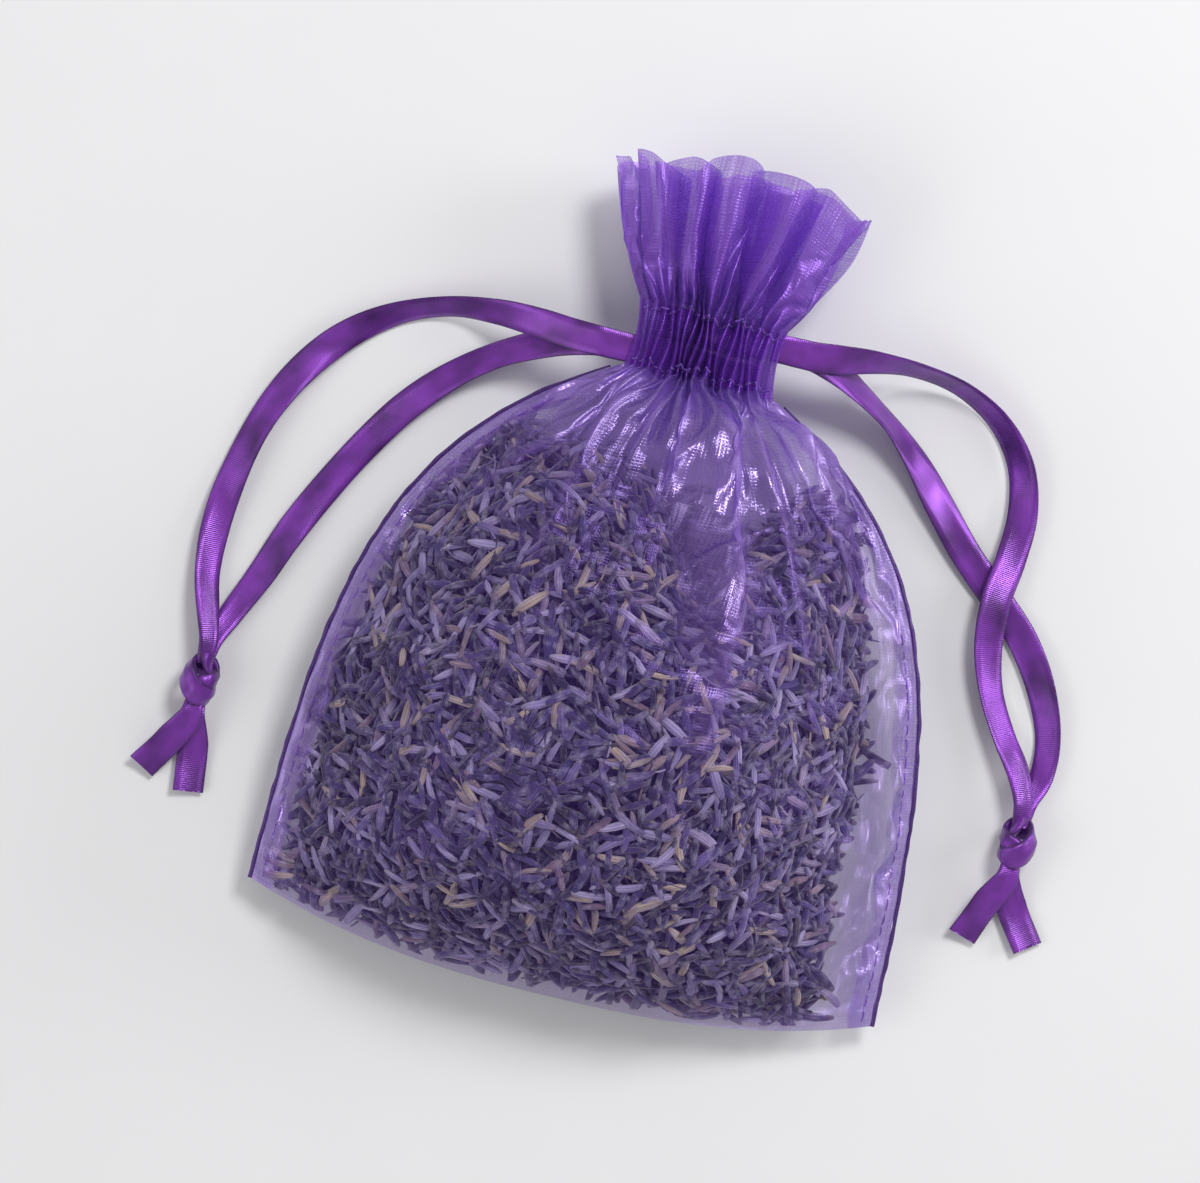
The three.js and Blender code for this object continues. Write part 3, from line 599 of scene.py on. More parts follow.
def set_all(owner, **values):
    for key, value in values.items():
        setattr(owner, key, value)


def feed(tree, made, inputs):
    """Fills a node's inputs, by name or number: a socket is linked, and anything else is set."""
    for key, value in inputs.items():
        slot = made.inputs[key]
        if isinstance(value, bpy.types.NodeSocket):
            tree.links.new(value, slot)
        else:
            slot.default_value = (*value, 1) if slot.type == "RGBA" else value
    return made


def node(tree, kind, inputs=None, **settings):
    made = tree.nodes.new(kind)
    set_all(made, **settings)
    return feed(tree, made, inputs or {})


def new_tree(name, inputs):
    """A Geometry Nodes tree over a geometry, with its named inputs, and the sockets that give them."""
    tree = bpy.data.node_groups.new(name, "GeometryNodeTree")
    for key, (kind, default) in {"Geometry": ("Geometry", None), **inputs}.items():
        made = tree.interface.new_socket(name=key, in_out="INPUT", socket_type="NodeSocket" + kind)
        if default is not None:
            made.default_value = default
    tree.interface.new_socket(name="Geometry", in_out="OUTPUT", socket_type="NodeSocketGeometry")
    return tree, node(tree, "NodeGroupInput").outputs


def end_tree(tree, instances, material):
    """Ends a tree: its instances become one mesh, which takes the material."""
    real = node(tree, "GeometryNodeRealizeInstances", {"Geometry": instances})
    painted = node(tree, "GeometryNodeSetMaterial", {"Geometry": real.outputs["Geometry"], "Material": material})
    node(tree, "NodeGroupOutput", {"Geometry": painted.outputs["Geometry"]})
    return tree


def run_nodes(name, source, tree, values):
    """Puts a node tree on a mesh, sets its inputs and returns the result as a plain mesh."""
    modifier = source.modifiers.new(tree.name, "NODES")
    modifier.node_group = tree
    by_name = {s.name: s.identifier for s in tree.interface.items_tree if s.in_out == "INPUT"}
    for key, value in values.items():
        modifier[by_name[key]] = value
    bpy.context.view_layer.update()
    depsgraph = bpy.context.evaluated_depsgraph_get()
    mesh = bpy.data.meshes.new_from_object(source.evaluated_get(depsgraph), depsgraph=depsgraph)
    mesh.name = name
    source.modifiers.remove(modifier)
    return mesh


def piece_from(name, mesh):
    piece = bpy.data.objects.new(name, mesh)
    bpy.context.scene.collection.objects.link(piece)
    return piece


def strew_tree(material):
    """Scatters shapes of a collection over a bed: spacing, sizes, tilt and seed are its inputs."""
    tree, given = new_tree("strew_buds", {
        "Shapes": ("Collection", None), "Shape Count": ("Int", 4), "Spacing": ("Float", 0.0015),
        "Least Size": ("Float", 0.85), "Greatest Size": ("Float", 1.1), "Tilt": ("Float", 0.3), "Seed": ("Int", 1)})
    seed, tilt = given["Seed"], given["Tilt"]
    fill = node(tree, "GeometryNodeInputNamedAttribute", {"Name": "fill"}, data_type="FLOAT")
    points = node(tree, "GeometryNodeDistributePointsOnFaces", {
        "Mesh": given["Geometry"], "Distance Min": given["Spacing"], "Density Max": 4e6,
        "Density Factor": fill.outputs["Attribute"], "Seed": seed}, distribute_method="POISSON")
    shapes = node(tree, "GeometryNodeCollectionInfo", {
        "Collection": given["Shapes"], "Separate Children": True, "Reset Children": True})
    last = value_of(tree, "SUBTRACT", given["Shape Count"], 1)
    pick = node(tree, "FunctionNodeRandomValue", {"Max": last, "Seed": seed}, data_type="INT")
    minus = value_of(tree, "MULTIPLY", tilt, -1)
    least = node(tree, "ShaderNodeCombineXYZ", {"X": minus, "Y": minus, "Z": -math.pi})
    most = node(tree, "ShaderNodeCombineXYZ", {"X": tilt, "Y": tilt, "Z": math.pi})
    turn = node(tree, "FunctionNodeRandomValue", {"Min": least.outputs[0], "Max": most.outputs[0], "Seed": seed},
                data_type="FLOAT_VECTOR")
    euler = node(tree, "FunctionNodeEulerToRotation", {0: turn.outputs["Value"]})
    rotate = node(tree, "FunctionNodeRotateRotation", {
        "Rotation": points.outputs["Rotation"], "Rotate By": euler.outputs[0]}, rotation_space="LOCAL")
    size = node(tree, "FunctionNodeRandomValue", {
        "Min": given["Least Size"], "Max": given["Greatest Size"], "Seed": seed}, data_type="FLOAT")
    place = node(tree, "GeometryNodeInstanceOnPoints", {
        "Points": points.outputs["Points"], "Instance": shapes.outputs[0], "Pick Instance": True,
        "Instance Index": pick.outputs["Value"], "Rotation": rotate.outputs[0], "Scale": size.outputs["Value"]})
    tint = node(tree, "FunctionNodeRandomValue", {"Seed": 77}, data_type="FLOAT")
    store = node(tree, "GeometryNodeStoreNamedAttribute", {"Geometry": place.outputs["Instances"], "Name": "tint",
                 "Value": tint.outputs["Value"]}, data_type="FLOAT", domain="INSTANCE")
    return end_tree(tree, store.outputs["Geometry"], material)


def stitch_tree(material):
    """Lays one stitch after another along an edge path: pitch, length and thread thickness are its inputs."""
    tree, given = new_tree("run_stitches", {
        "Pitch": ("Float", 0.0016), "Stitch Length": ("Float", 0.0012), "Thread Radius": ("Float", 0.00013),
        "Seed": ("Int", 3)})
    curve = node(tree, "GeometryNodeMeshToCurve", {"Mesh": given["Geometry"]})
    even = node(tree, "GeometryNodeCurveToPoints", {"Curve": curve.outputs["Curve"], "Length": given["Pitch"]},
                mode="LENGTH")
    half = value_of(tree, "MULTIPLY", given["Stitch Length"], 0.5)
    back = value_of(tree, "MULTIPLY", half, -1)
    bow = value_of(tree, "MULTIPLY", given["Thread Radius"], 1.8)
    start, middle, end = (node(tree, "ShaderNodeCombineXYZ", {axis: far}).outputs[0]
                          for axis, far in (("Z", back), ("X", bow), ("Z", half)))
    stitch = node(tree, "GeometryNodeCurveQuadraticBezier", {
        "Resolution": 5, "Start": start, "Middle": middle, "End": end})
    ring = node(tree, "GeometryNodeCurvePrimitiveCircle", {"Resolution": 6, "Radius": given["Thread Radius"]})
    tube = node(tree, "GeometryNodeCurveToMesh", {
        "Curve": stitch.outputs[0], "Profile Curve": ring.outputs[0], "Fill Caps": True})
    wobble = node(tree, "FunctionNodeRandomValue", {"Min": 0.85, "Max": 1.12, "Seed": given["Seed"]},
                  data_type="FLOAT")
    place = node(tree, "GeometryNodeInstanceOnPoints", {
        "Points": even.outputs["Points"], "Instance": tube.outputs["Mesh"], "Rotation": even.outputs["Rotation"],
        "Scale": wobble.outputs["Value"]})
    return end_tree(tree, place.outputs["Instances"], material)


def stitches(name, path, tree, pitch, length, radius):
    """A row of stitches along a path in millimetres, as one plain piece."""
    mesh = bpy.data.meshes.new(name + "_path")
    mesh.from_pydata((np.asarray(path) * MM).tolist(), [(i, i + 1) for i in range(len(path) - 1)], [])
    source = piece_from(name + "_path", mesh)
    made = run_nodes(name, source, tree, {
        "Pitch": pitch * MM, "Stitch Length": length * MM, "Thread Radius": radius * MM})
    bpy.data.objects.remove(source)
    made.shade_smooth()
    return piece_from(name, made)


# Materials

def material(name):
    made = bpy.data.materials.new(name)
    made.use_nodes = True
    return made, made.node_tree, made.node_tree.nodes["Principled BSDF"]


def value_of(tree, operation, *given, clamp=False):
    """A Math node over sockets and numbers, and its output."""
    return node(tree, "ShaderNodeMath", dict(enumerate(given)), operation=operation, use_clamp=clamp).outputs[0]


def colour_between(tree, share, low, high):
    made = node(tree, "ShaderNodeMix", {"Factor": share, "A": low, "B": high}, data_type="RGBA")
    return made.outputs["Result"]


def tinted(tree, tone, tints):
    """A tone brought towards one colour after another, each by its share."""
    for share, colour in tints:
        tone = colour_between(tree, share, tone, colour)
    return tone


def noise_of(tree, place, scale, detail=3.0, stretch=None):
    """Noise from 0 to 1 over a place socket, stretched by a factor for each axis."""
    if stretch is not None:
        place = node(tree, "ShaderNodeMapping", {"Vector": place, "Scale": stretch}).outputs[0]
    return node(tree, "ShaderNodeTexNoise", {"Vector": place, "Scale": scale, "Detail": detail}).outputs["Fac"]


def wave_of(tree, along, turn):
    """A sine along a socket, with its angle per unit."""
    return value_of(tree, "SINE", value_of(tree, "MULTIPLY", along, turn))


def bump_of(tree, height, strength, distance):
    made = node(tree, "ShaderNodeBump", {"Height": height, "Strength": strength, "Distance": distance})
    return made.outputs["Normal"]


def attribute_of(tree, name):
    return node(tree, "ShaderNodeAttribute", attribute_name=name).outputs["Fac"]


def cloth_map(tree):
    """The place on the flat cloth, and its two parts."""
    flat = node(tree, "ShaderNodeUVMap", uv_map="cloth").outputs["UV"]
    split = node(tree, "ShaderNodeSeparateXYZ", {0: flat})
    return flat, split.outputs["X"], split.outputs["Y"]


def object_place(tree):
    return node(tree, "ShaderNodeTexCoord").outputs["Object"]


def organza(name, colour, deep, pale, haze, dense, pitch):
    """Sheer plain weave. haze and dense are how much one layer hides where it lies flat and where it is
    gathered, and pitch is the distance between threads in millimetres of cloth."""
    made, tree, shader = material(name)
    of = partial(value_of, tree)
    flat, across, along = cloth_map(tree)
    warp, weft = (of("ABSOLUTE", wave_of(tree, part, math.pi / pitch)) for part in (across, along))
    weave = of("MAXIMUM", warp, weft)
    slubs = of("ADD", *(noise_of(tree, flat, 1.0, 2.0, long) for long in ((5.5, 0.12, 1.0), (0.12, 5.5, 1.0))))
    streak = of("MULTIPLY_ADD", slubs, 0.9, -0.45, clamp=True)
    patch = of("MULTIPLY_ADD", noise_of(tree, flat, 0.11), 0.8, -0.2, clamp=True)
    gathered, slack, folded = (attribute_of(tree, key) for key in ("gathered", "slack", "folded"))
    doubled = tuple(mix(np.array(deep), np.array(pale), 0.55))
    # Painted light and shade in the tone: the gathered value deepens it and is highest in the valleys of the gathers
    # (painted shade), and slack cloth is painted paler (painted light shining through it). The streaks and patches
    # are the weave's own uneven tone.
    tone = tinted(tree, colour, [
        (gathered, deep), (of("MULTIPLY", folded, 0.8), doubled), (of("MULTIPLY", slack, 0.7), pale),
        (of("MULTIPLY", streak, 0.35), pale), (of("MULTIPLY", patch, 0.4), deep)])
    gloss = of("MULTIPLY_ADD", folded, 0.5, of("MULTIPLY_ADD", slack, 0.8, 0.12), clamp=True)
    threads = bump_of(tree, of("ADD", weave, of("MULTIPLY", slubs, 0.8)), 0.35, 0.00008)
    feed(tree, shader, {
        "Base Color": tone, "Metallic": 0.45, "Roughness": 0.27, "Specular IOR Level": 0.9,
        "Specular Tint": mix(np.array(pale), 1.0, 0.5), "Coat Weight": gloss, "Coat Roughness": 0.23, "Coat IOR": 2.1,
        "Sheen Weight": 0.2, "Sheen Roughness": 0.4, "Sheen Tint": pale, "Normal": threads, "Coat Normal": threads})
    through = node(tree, "ShaderNodeBsdfTranslucent", {"Color": tone})
    cloth = node(tree, "ShaderNodeMixShader", {0: 0.35, 1: shader.outputs[0], 2: through.outputs[0]})
    cover = of("MULTIPLY_ADD", gathered, dense - haze, haze)
    cover = of("MULTIPLY_ADD", folded, 0.42, of("MULTIPLY_ADD", slack, 0.1, cover))
    grain = of("MULTIPLY", of("MULTIPLY_ADD", weave, 0.3, 0.8), of("MULTIPLY_ADD", slubs, 0.5, 0.5))
    cover = of("MULTIPLY", cover, grain, clamp=True)
    clear = node(tree, "ShaderNodeBsdfTransparent")
    whole = node(tree, "ShaderNodeMixShader", {0: cover, 1: clear.outputs[0], 2: cloth.outputs[0]})
    feed(tree, tree.nodes["Material Output"], {"Surface": whole.outputs[0]})
    return made


def satin(name, colour, deep):
    """Satin ribbon: fine cross ribs, a darker woven edge and painted shade in broad patches along its length."""
    made, tree, shader = material(name)
    of = partial(value_of, tree)
    flat, along, across = cloth_map(tree)
    ribs = wave_of(tree, along, 2 * math.pi / 0.22)
    floats = noise_of(tree, flat, 1.0, 2.0, (0.4, 40.0, 1.0))
    painted_shade_patches = noise_of(tree, flat, 1.0, 2.0, (0.16, 0.8, 1.0))
    centre = of("ABSOLUTE", of("MULTIPLY_ADD", across, 2.0, -1.0))
    edge = of("MULTIPLY_ADD", centre, 7.0, -5.9, clamp=True)
    # Painted shade: broad noise patches along the ribbon pull its colour towards the shade colour.
    tone = tinted(tree, colour, [
        (of("MULTIPLY_ADD", painted_shade_patches, 2.4, -0.95, clamp=True), deep), (of("MULTIPLY", floats, 0.35), deep),
        (of("MULTIPLY", edge, 0.6), deep)])
    height = of("ADD", ribs, of("MULTIPLY", floats, 1.5))
    feed(tree, shader, {
        "Base Color": tone, "Metallic": 0.45, "Roughness": 0.27, "Specular IOR Level": 0.7, "Sheen Weight": 0.15,
        "Normal": bump_of(tree, height, 0.3, 0.00003)})
    return made


def sewing_thread(name, colour, deep):
    """Twisted thread, its ply shown as slanting bands."""
    made, tree, shader = material(name)
    wave = node(tree, "ShaderNodeTexWave", {"Vector": object_place(tree), "Scale": 1500, "Distortion": 1.5},
                wave_type="BANDS", bands_direction="DIAGONAL").outputs["Fac"]
    feed(tree, shader, {"Base Color": colour_between(tree, wave, deep, colour), "Roughness": 0.6,
                        "Sheen Weight": 0.3, "Normal": bump_of(tree, wave, 0.5, 0.00005)})
    return made


def dried_bud(name, tones):
    """Dried buds: each takes its own tone, darker towards the tip, with ribs along it."""
    made, tree, shader = material(name)
    of = partial(value_of, tree)
    along = attribute_of(tree, "along")
    ramp = node(tree, "ShaderNodeValToRGB", {"Fac": attribute_of(tree, "tint")})
    stops = ramp.color_ramp.elements
    while len(stops) < len(tones):
        stops.new(0.5)
    for stop, (place, colour) in zip(stops, tones):
        stop.position, stop.color = place, (*hex_colour(colour), 1)
    ribs = wave_of(tree, cloth_map(tree)[2], 2 * math.pi * 9)
    mottle = noise_of(tree, object_place(tree), 900.0)
    tone = tinted(tree, ramp.outputs["Color"], [
        (of("MULTIPLY_ADD", along, 0.9, -0.35, clamp=True), hex_colour("362a5e")),
        (of("MULTIPLY_ADD", along, -2.2, 0.5, clamp=True), hex_colour("978673")),
        (of("MULTIPLY_ADD", mottle, 1.6, -0.75, clamp=True), hex_colour("d6cbe8")),
        (of("MULTIPLY_ADD", ribs, 0.16, 0.14, clamp=True), hex_colour("231c3c"))])
    height = of("ADD", ribs, of("MULTIPLY", mottle, 1.5))
    feed(tree, shader, {"Base Color": tone, "Roughness": 0.75, "Specular IOR Level": 0.3, "Sheen Weight": 0.35,
                        "Normal": bump_of(tree, height, 0.6, 0.00006)})
    return made


def lavender_depth(name):
    """What shows between the buds: more of the same, in shade."""
    made, tree, shader = material(name)
    place = object_place(tree)
    cells = node(tree, "ShaderNodeTexVoronoi", {"Vector": place, "Scale": 520}).outputs["Distance"]
    mottle = value_of(tree, "MULTIPLY_ADD", noise_of(tree, place, 700.0), 1.5, -0.7, clamp=True)
    tone = tinted(tree, hex_colour("2c2444"), [(cells, hex_colour("0e0a18")), (mottle, hex_colour("51456e"))])
    feed(tree, shader, {"Base Color": tone, "Roughness": 0.9, "Normal": bump_of(tree, cells, 1.0, 0.0006)})
    return made


def paper_floor(name, colour):
    made, tree, shader = material(name)
    grain = noise_of(tree, object_place(tree), 60.0, 4.0)
    tone = colour_between(tree, grain, tuple(0.97 * c for c in colour), colour)
    feed(tree, shader, {"Base Color": tone, "Roughness": 0.9, "Specular IOR Level": 0.1})
    return made


# Settings that a user would change

class ClothSettings(bpy.types.PropertyGroup):
    """Sizes and colours of the organza."""
    body_colour: FloatVectorProperty(name="Body", description="Colour of the cloth over the lavender",
                                     subtype="COLOR", size=3, default=hex_colour("4d2496"))
    # deep_colour also carries the painted shade in the valleys of the gathers
    deep_colour: FloatVectorProperty(name="Gathered", description="Colour where the cloth is gathered",
                                     subtype="COLOR", size=3, default=hex_colour("6c24ac"))
    # Slack cloth is painted towards pale_colour: painted light shining through it
    pale_colour: FloatVectorProperty(name="Pale", description="Colour of slack cloth and of its sheen",
                                     subtype="COLOR", size=3, default=hex_colour("b48af0"))
    ruffle_colour: FloatVectorProperty(name="Ruffle", description="Colour of the ruffle's open folds",
                                       subtype="COLOR", size=3, default=hex_colour("8c2adc"))
    body_haze: FloatProperty(name="Body haze", description="How much one layer of the body's cloth hides",
                             subtype="FACTOR", min=0, max=1, default=0.19)
    ruffle_haze: FloatProperty(name="Ruffle haze", description="How much one layer of the ruffle hides",
                               subtype="FACTOR", min=0, max=1, default=0.56)
    thread_pitch: FloatProperty(name="Thread pitch", description="Distance between the weave's threads",
                                unit="LENGTH", default=0.00036)
    thread_colour: FloatVectorProperty(name="Thread", description="Colour of the sewing thread",
                                       subtype="COLOR", size=3, default=hex_colour("7a3cc4"))


class RibbonSettings(bpy.types.PropertyGroup):
    """Sizes and colours of the drawstring ribbons."""
    width: FloatProperty(name="Width", description="Width of the ribbon", unit="LENGTH", default=0.0035)
    thickness: FloatProperty(name="Thickness", description="Thickness of the ribbon", unit="LENGTH", default=0.0002)
    colour: FloatVectorProperty(name="Colour", description="Colour of the lit satin", subtype="COLOR", size=3,
                                default=hex_colour("8c3abc"))
    # shade is also the colour of the painted shade in broad patches along the satin
    shade: FloatVectorProperty(name="Shade", description="Colour of the satin's darker threads", subtype="COLOR",
                               size=3, default=hex_colour("22063a"))


class LavenderSettings(bpy.types.PropertyGroup):
    """Sizes and order of the dried buds."""
    bud_length: FloatProperty(name="Bud length", description="Length of a bud", unit="LENGTH", default=0.0046)
    bud_width: FloatProperty(name="Bud width", description="Width of a bud", unit="LENGTH", default=0.00105)
    spacing: FloatProperty(name="Spacing", description="Least distance between the middles of two buds",
                           unit="LENGTH", default=0.00118)
    seed: IntProperty(name="Seed", description="Order of the random draws", default=5)


class StageSettings(bpy.types.PropertyGroup):
    """The floor, the lamps and the camera."""
    floor_colour: FloatVectorProperty(name="Floor", description="Colour of the table", subtype="COLOR", size=3,
                                      default=(0.78, 0.78, 0.79))
    lean: FloatProperty(name="Lean", description="How far the pouch leans to the right in the view",
                        subtype="ANGLE", default=math.radians(13.5))
    view_width: FloatProperty(name="View width", description="Width of what the camera takes in",
                              unit="LENGTH", default=0.134)
    view_height: FloatProperty(name="Camera height", description="Height of the camera above the table",
                               unit="LENGTH", default=0.62)
    key_power: FloatProperty(name="Key lamp", description="Power of the large soft lamp", default=3.4)
    fill_power: FloatProperty(name="Fill lamp", description="Power of the lamp on the other side", default=1.2)
    rim_power: FloatProperty(name="Rim lamp", description="Power of the low lamp on the right", default=1.5)
    sky: FloatProperty(name="Surround", description="Strength of the even light all round", default=0.42)


# Pieces

def stand_in(piece, node_name, body):
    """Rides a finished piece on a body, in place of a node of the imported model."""
    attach(piece, body)
    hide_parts(node_name)
    return piece


def organza_look(name, colour, haze, dense, depth=1.0):
    """Organza in one of the cloth's colours. depth is how bright it stays where it is gathered."""
    cloth = bpy.context.scene.sachet_cloth
    deep = tuple(depth * c for c in cloth.deep_colour)
    return organza(name, tuple(colour), deep, tuple(cloth.pale_colour), haze, dense, cloth.thread_pitch / MM)


def ribbon_material():
    ribbon = bpy.context.scene.sachet_ribbon
    return bpy.data.materials.get("ribbon_satin") or satin("ribbon_satin", tuple(ribbon.colour), tuple(ribbon.shade))


def thread_material():
    colour = tuple(bpy.context.scene.sachet_cloth.thread_colour)
    found = bpy.data.materials.get("thread_ply")
    return found or sewing_thread("thread_ply", colour, tuple(0.45 * c for c in colour))


# Routes of the four free strands from the casing to the knots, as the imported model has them, with the
# roll of the ribbon along each in degrees
STRANDS = {
    "left_front_strand": ([
        (-7.2, 0, 9.5), (-10.52, 0, 9.5), (-12.01, 0, 9.5), (-15, 0.1, 8.5), (-19, 0.5, 6.5), (-24, 0.7, 4.1),
        (-29.5, 0.1, 2.3), (-35, -2, 1.6), (-40, -5.7, 1.5), (-44, -10.7, 1.5), (-46.9, -16.6, 1.5),
        (-48.6, -23, 1.5), (-49.4, -29.6, 1.5), (-49.1, -35.6, 1.8), (-47.9, -40, 2.8), (-47.1, -42.8, 3.2),
        (-47, -44.2, 3.2), (-47, -45.8, 3.1)], [0, 4, 14, 34, 52, 50, 30, 4, -14, -26, -20, 6, 24, 18, 0]),
    "left_back_strand": ([
        (-7.2, 0, 8.5), (-10.52, 0, 8.5), (-12.01, 0, 8.5), (-15, -0.6, 7.2), (-18.4, -1.8, 4.9), (-22.8, -4, 2.7),
        (-27.3, -7.4, 1.5), (-31.4, -11.8, 1.2), (-35, -17.2, 1.2), (-38.2, -23, 1.2), (-41, -28.9, 1.2),
        (-43.2, -34.6, 1.1), (-45.3, -39.4, 1.4), (-46.6, -42.8, 2.1), (-46.8, -44.2, 2.2),
        (-46.9, -45.8, 2.3)],
        [0, -4, -14, -30, -26, -8, 6, 12, 6, -8, -12, -4, 0]),
    "right_front_strand": ([
        (7.2, 0, 9.5), (10.52, 0, 9.5), (12.01, 0, 9.5), (15, 0.4, 8.6), (19, 1.1, 6.7), (24, 1.5, 4.2),
        (29.5, 0.7, 2.3), (34.4, -1.9, 1.6), (37.9, -6.1, 1.5), (39.4, -11.3, 1.5), (39.3, -16.7, 1.8),
        (38.7, -21.9, 2.4), (39.1, -27.1, 2), (40.7, -32.1, 1.5), (43.2, -36.5, 1.7), (45.7, -40.2, 2.7),
        (46.9, -43.1, 3.2), (47.1, -44.5, 3.2), (47.2, -46.1, 3.1)],
        [0, -10, -34, -60, -66, -58, -46, -30, -12, 0, 8, 20, 34, 30, 8, 0]),
    "right_back_strand": ([
        (7.2, 0, 8.5), (10.52, 0, 8.5), (12.01, 0, 8.5), (15, -0.9, 7.1), (18.2, -2.5, 4.8), (22.4, -5.1, 2.6),
        (26.4, -8.6, 1.4), (30.2, -12.9, 1.1), (34.2, -17.3, 0.9), (38.7, -21.4, 0.7), (42.9, -25.5, 0.9),
        (46.3, -30.7, 1.2), (48.3, -36.1, 1.1), (48.4, -40.5, 1.5), (47.6, -43.1, 2.1), (47.5, -44.5, 2.2),
        (47.4, -46.1, 2.3)],
        [0, 14, 44, 58, 36, 10, 0, 0, -6, -18, -30, -14, 0]),
}
KNOT_MIDDLES = {"left": (-46.9, LEFT_LANE_Y - 47.5, 2.7), "right": (47.3, RIGHT_LANE_Y - 47.8, 2.7)}
TAILS = {
    "left_front_tail": [(-0.2, 0, 0.5), (-0.2, -1, 0.5), (-1.9, -4.2, -0.4), (-4.4, -8, -1.6)],
    "left_back_tail": [(0.1, 0, -0.5), (0.1, -1, -0.5), (0.7, -4, -1.7), (1.4, -9.6, -1.8)],
    "right_front_tail": [(-0.2, 0, 0.5), (-0.2, -1, 0.5), (-1.7, -4.2, -0.4), (-3.4, -8.6, -1.6)],
    "right_back_tail": [(0.1, 0, -0.5), (0.1, -1, -0.5), (1.3, -4, -1.7), (4.2, -8.2, -1.8)],
}
KNOT_RIBBON_LENGTH = 45
# One ribbon end's way through an overhand knot, from its strand above to its tail below
KNOT_WAY = [
    (0, 3.3, 0.3), (-0.5, 1.7, 0.2), (-1.3, -0.6, -0.4), (-1.2, -2.0, 0.5), (0.5, -1.5, 1.6), (1.7, 0.3, 1.1),
    (1.3, 1.6, -0.5), (-0.3, 1.7, -1.4), (-1.6, 0.6, -0.7), (-1.2, -0.2, 1.0), (0.3, -0.9, 1.0), (0.7, -2.1, 0.1),
    (0.2, -3.4, 0),
]


def knot_piece(name, middle, hand):
    """An overhand knot pulled from both ends of the ribbon together, crushed to a soft oval section."""
    count = 150
    path = spline(np.array(KNOT_WAY) * [hand, 1, 1] * [0.92, 0.92, 0.95] + np.array(middle), count)
    tangent = unit(np.gradient(path, axis=0))
    out = path - np.array(middle)
    out[:, 1] *= 0.3
    out = unit(out - (out * tangent).sum(1)[:, None] * tangent)
    side = np.cross(tangent, out)
    angles = np.linspace(0, 2 * math.pi, 14, endpoint=False)
    s = np.linspace(0, 1, count)
    wide = 1.35 * (0.55 + 0.45 * np.sin(math.pi * np.clip(s * 1.1, 0, 1)) ** 0.5) * (1 + 0.1 * np.sin(23 * s))
    thick = 0.5 * (1 + 0.12 * np.sin(31 * s + 1))
    sections = np.stack([
        path + side * (wide * math.cos(a))[:, None]
        + out * (thick * (math.sin(a) + 0.16 * math.sin(5 * a + 1)))[:, None] for a in angles
    ], axis=1)
    points, faces = band(path, sections)
    points[:, 2] = np.maximum(points[:, 2], 0.15)
    along = np.linspace(0, KNOT_RIBBON_LENGTH, count)
    uv = [[a, 0.5 + 0.5 * math.cos(b)] for a in along for b in angles] + [[0, 0.5], [KNOT_RIBBON_LENGTH, 0.5]]
    return mesh_piece(name, points, faces, ribbon_material(), uv=np.array(uv))


class SACHET_OT_ribbons(bpy.types.Operator):
    """Lays the free strands of both ribbons, ties their knots and cuts their tails"""
    bl_idname = "sachet.ribbons"
    bl_label = "Ribbons"

    def execute(self, context):
        size = context.scene.sachet_ribbon
        width, thickness = size.width / MM, size.thickness / MM
        look = ribbon_material()
        for hand_name, hand, lane in HANDS:
            body = hand_name + "_drawstring"
            middle = KNOT_MIDDLES[hand_name]
            knot = knot_piece(hand_name + "_ribbon_knot", middle, hand)
            stand_in(knot, hand_name + "_knot", body)
            lower = np.array(middle) - [0, 3.3, 0]
            for side_name, rolls in (("front", [0, 10, 24, 12]), ("back", [0, -8, 6, 10])):
                name = f"{hand_name}_{side_name}_tail"
                route = np.array(TAILS[name]) + lower
                route[0] += [0, 0.9, 0]
                tail = strap(name + "_ribbon", route, 40, width, thickness, rolls, look, [0.55, 0.85, 1, 1, 1])[0]
                stand_in(tail, name, body)
            for side_name in ("front", "back"):
                name = f"{hand_name}_{side_name}_strand"
                route, rolls = STRANDS[name]
                route = np.array(route) + [0, lane, 0]
                strand, path, length = strap(name + "_ribbon", route, 220, width, thickness, rolls, look,
                                             [0.9, 1, 1, 1, 1, 1, 1, 1, 1, 0.95, 0.8, 0.5])
                stand_in(strand, name, body)
        return {"FINISHED"}


class SACHET_OT_body(bpy.types.Operator):
    """Makes the cloth of the front and the back of the pouch"""
    bl_idname = "sachet.body"
    bl_label = "Body cloth"

    def execute(self, context):
        cloth = context.scene.sachet_cloth
        look = organza_look("organza_body", cloth.body_colour, cloth.body_haze, 0.78)
        for name, side, node_name in (("front_cloth", FRONT, "front_panel"), ("back_cloth", BACK, "back_panel")):
            piece = body_cloth(name, side, look)
            if side == FRONT:
                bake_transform(piece)
            else:
                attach(piece, "pouch")
            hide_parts(node_name)
        return {"FINISHED"}


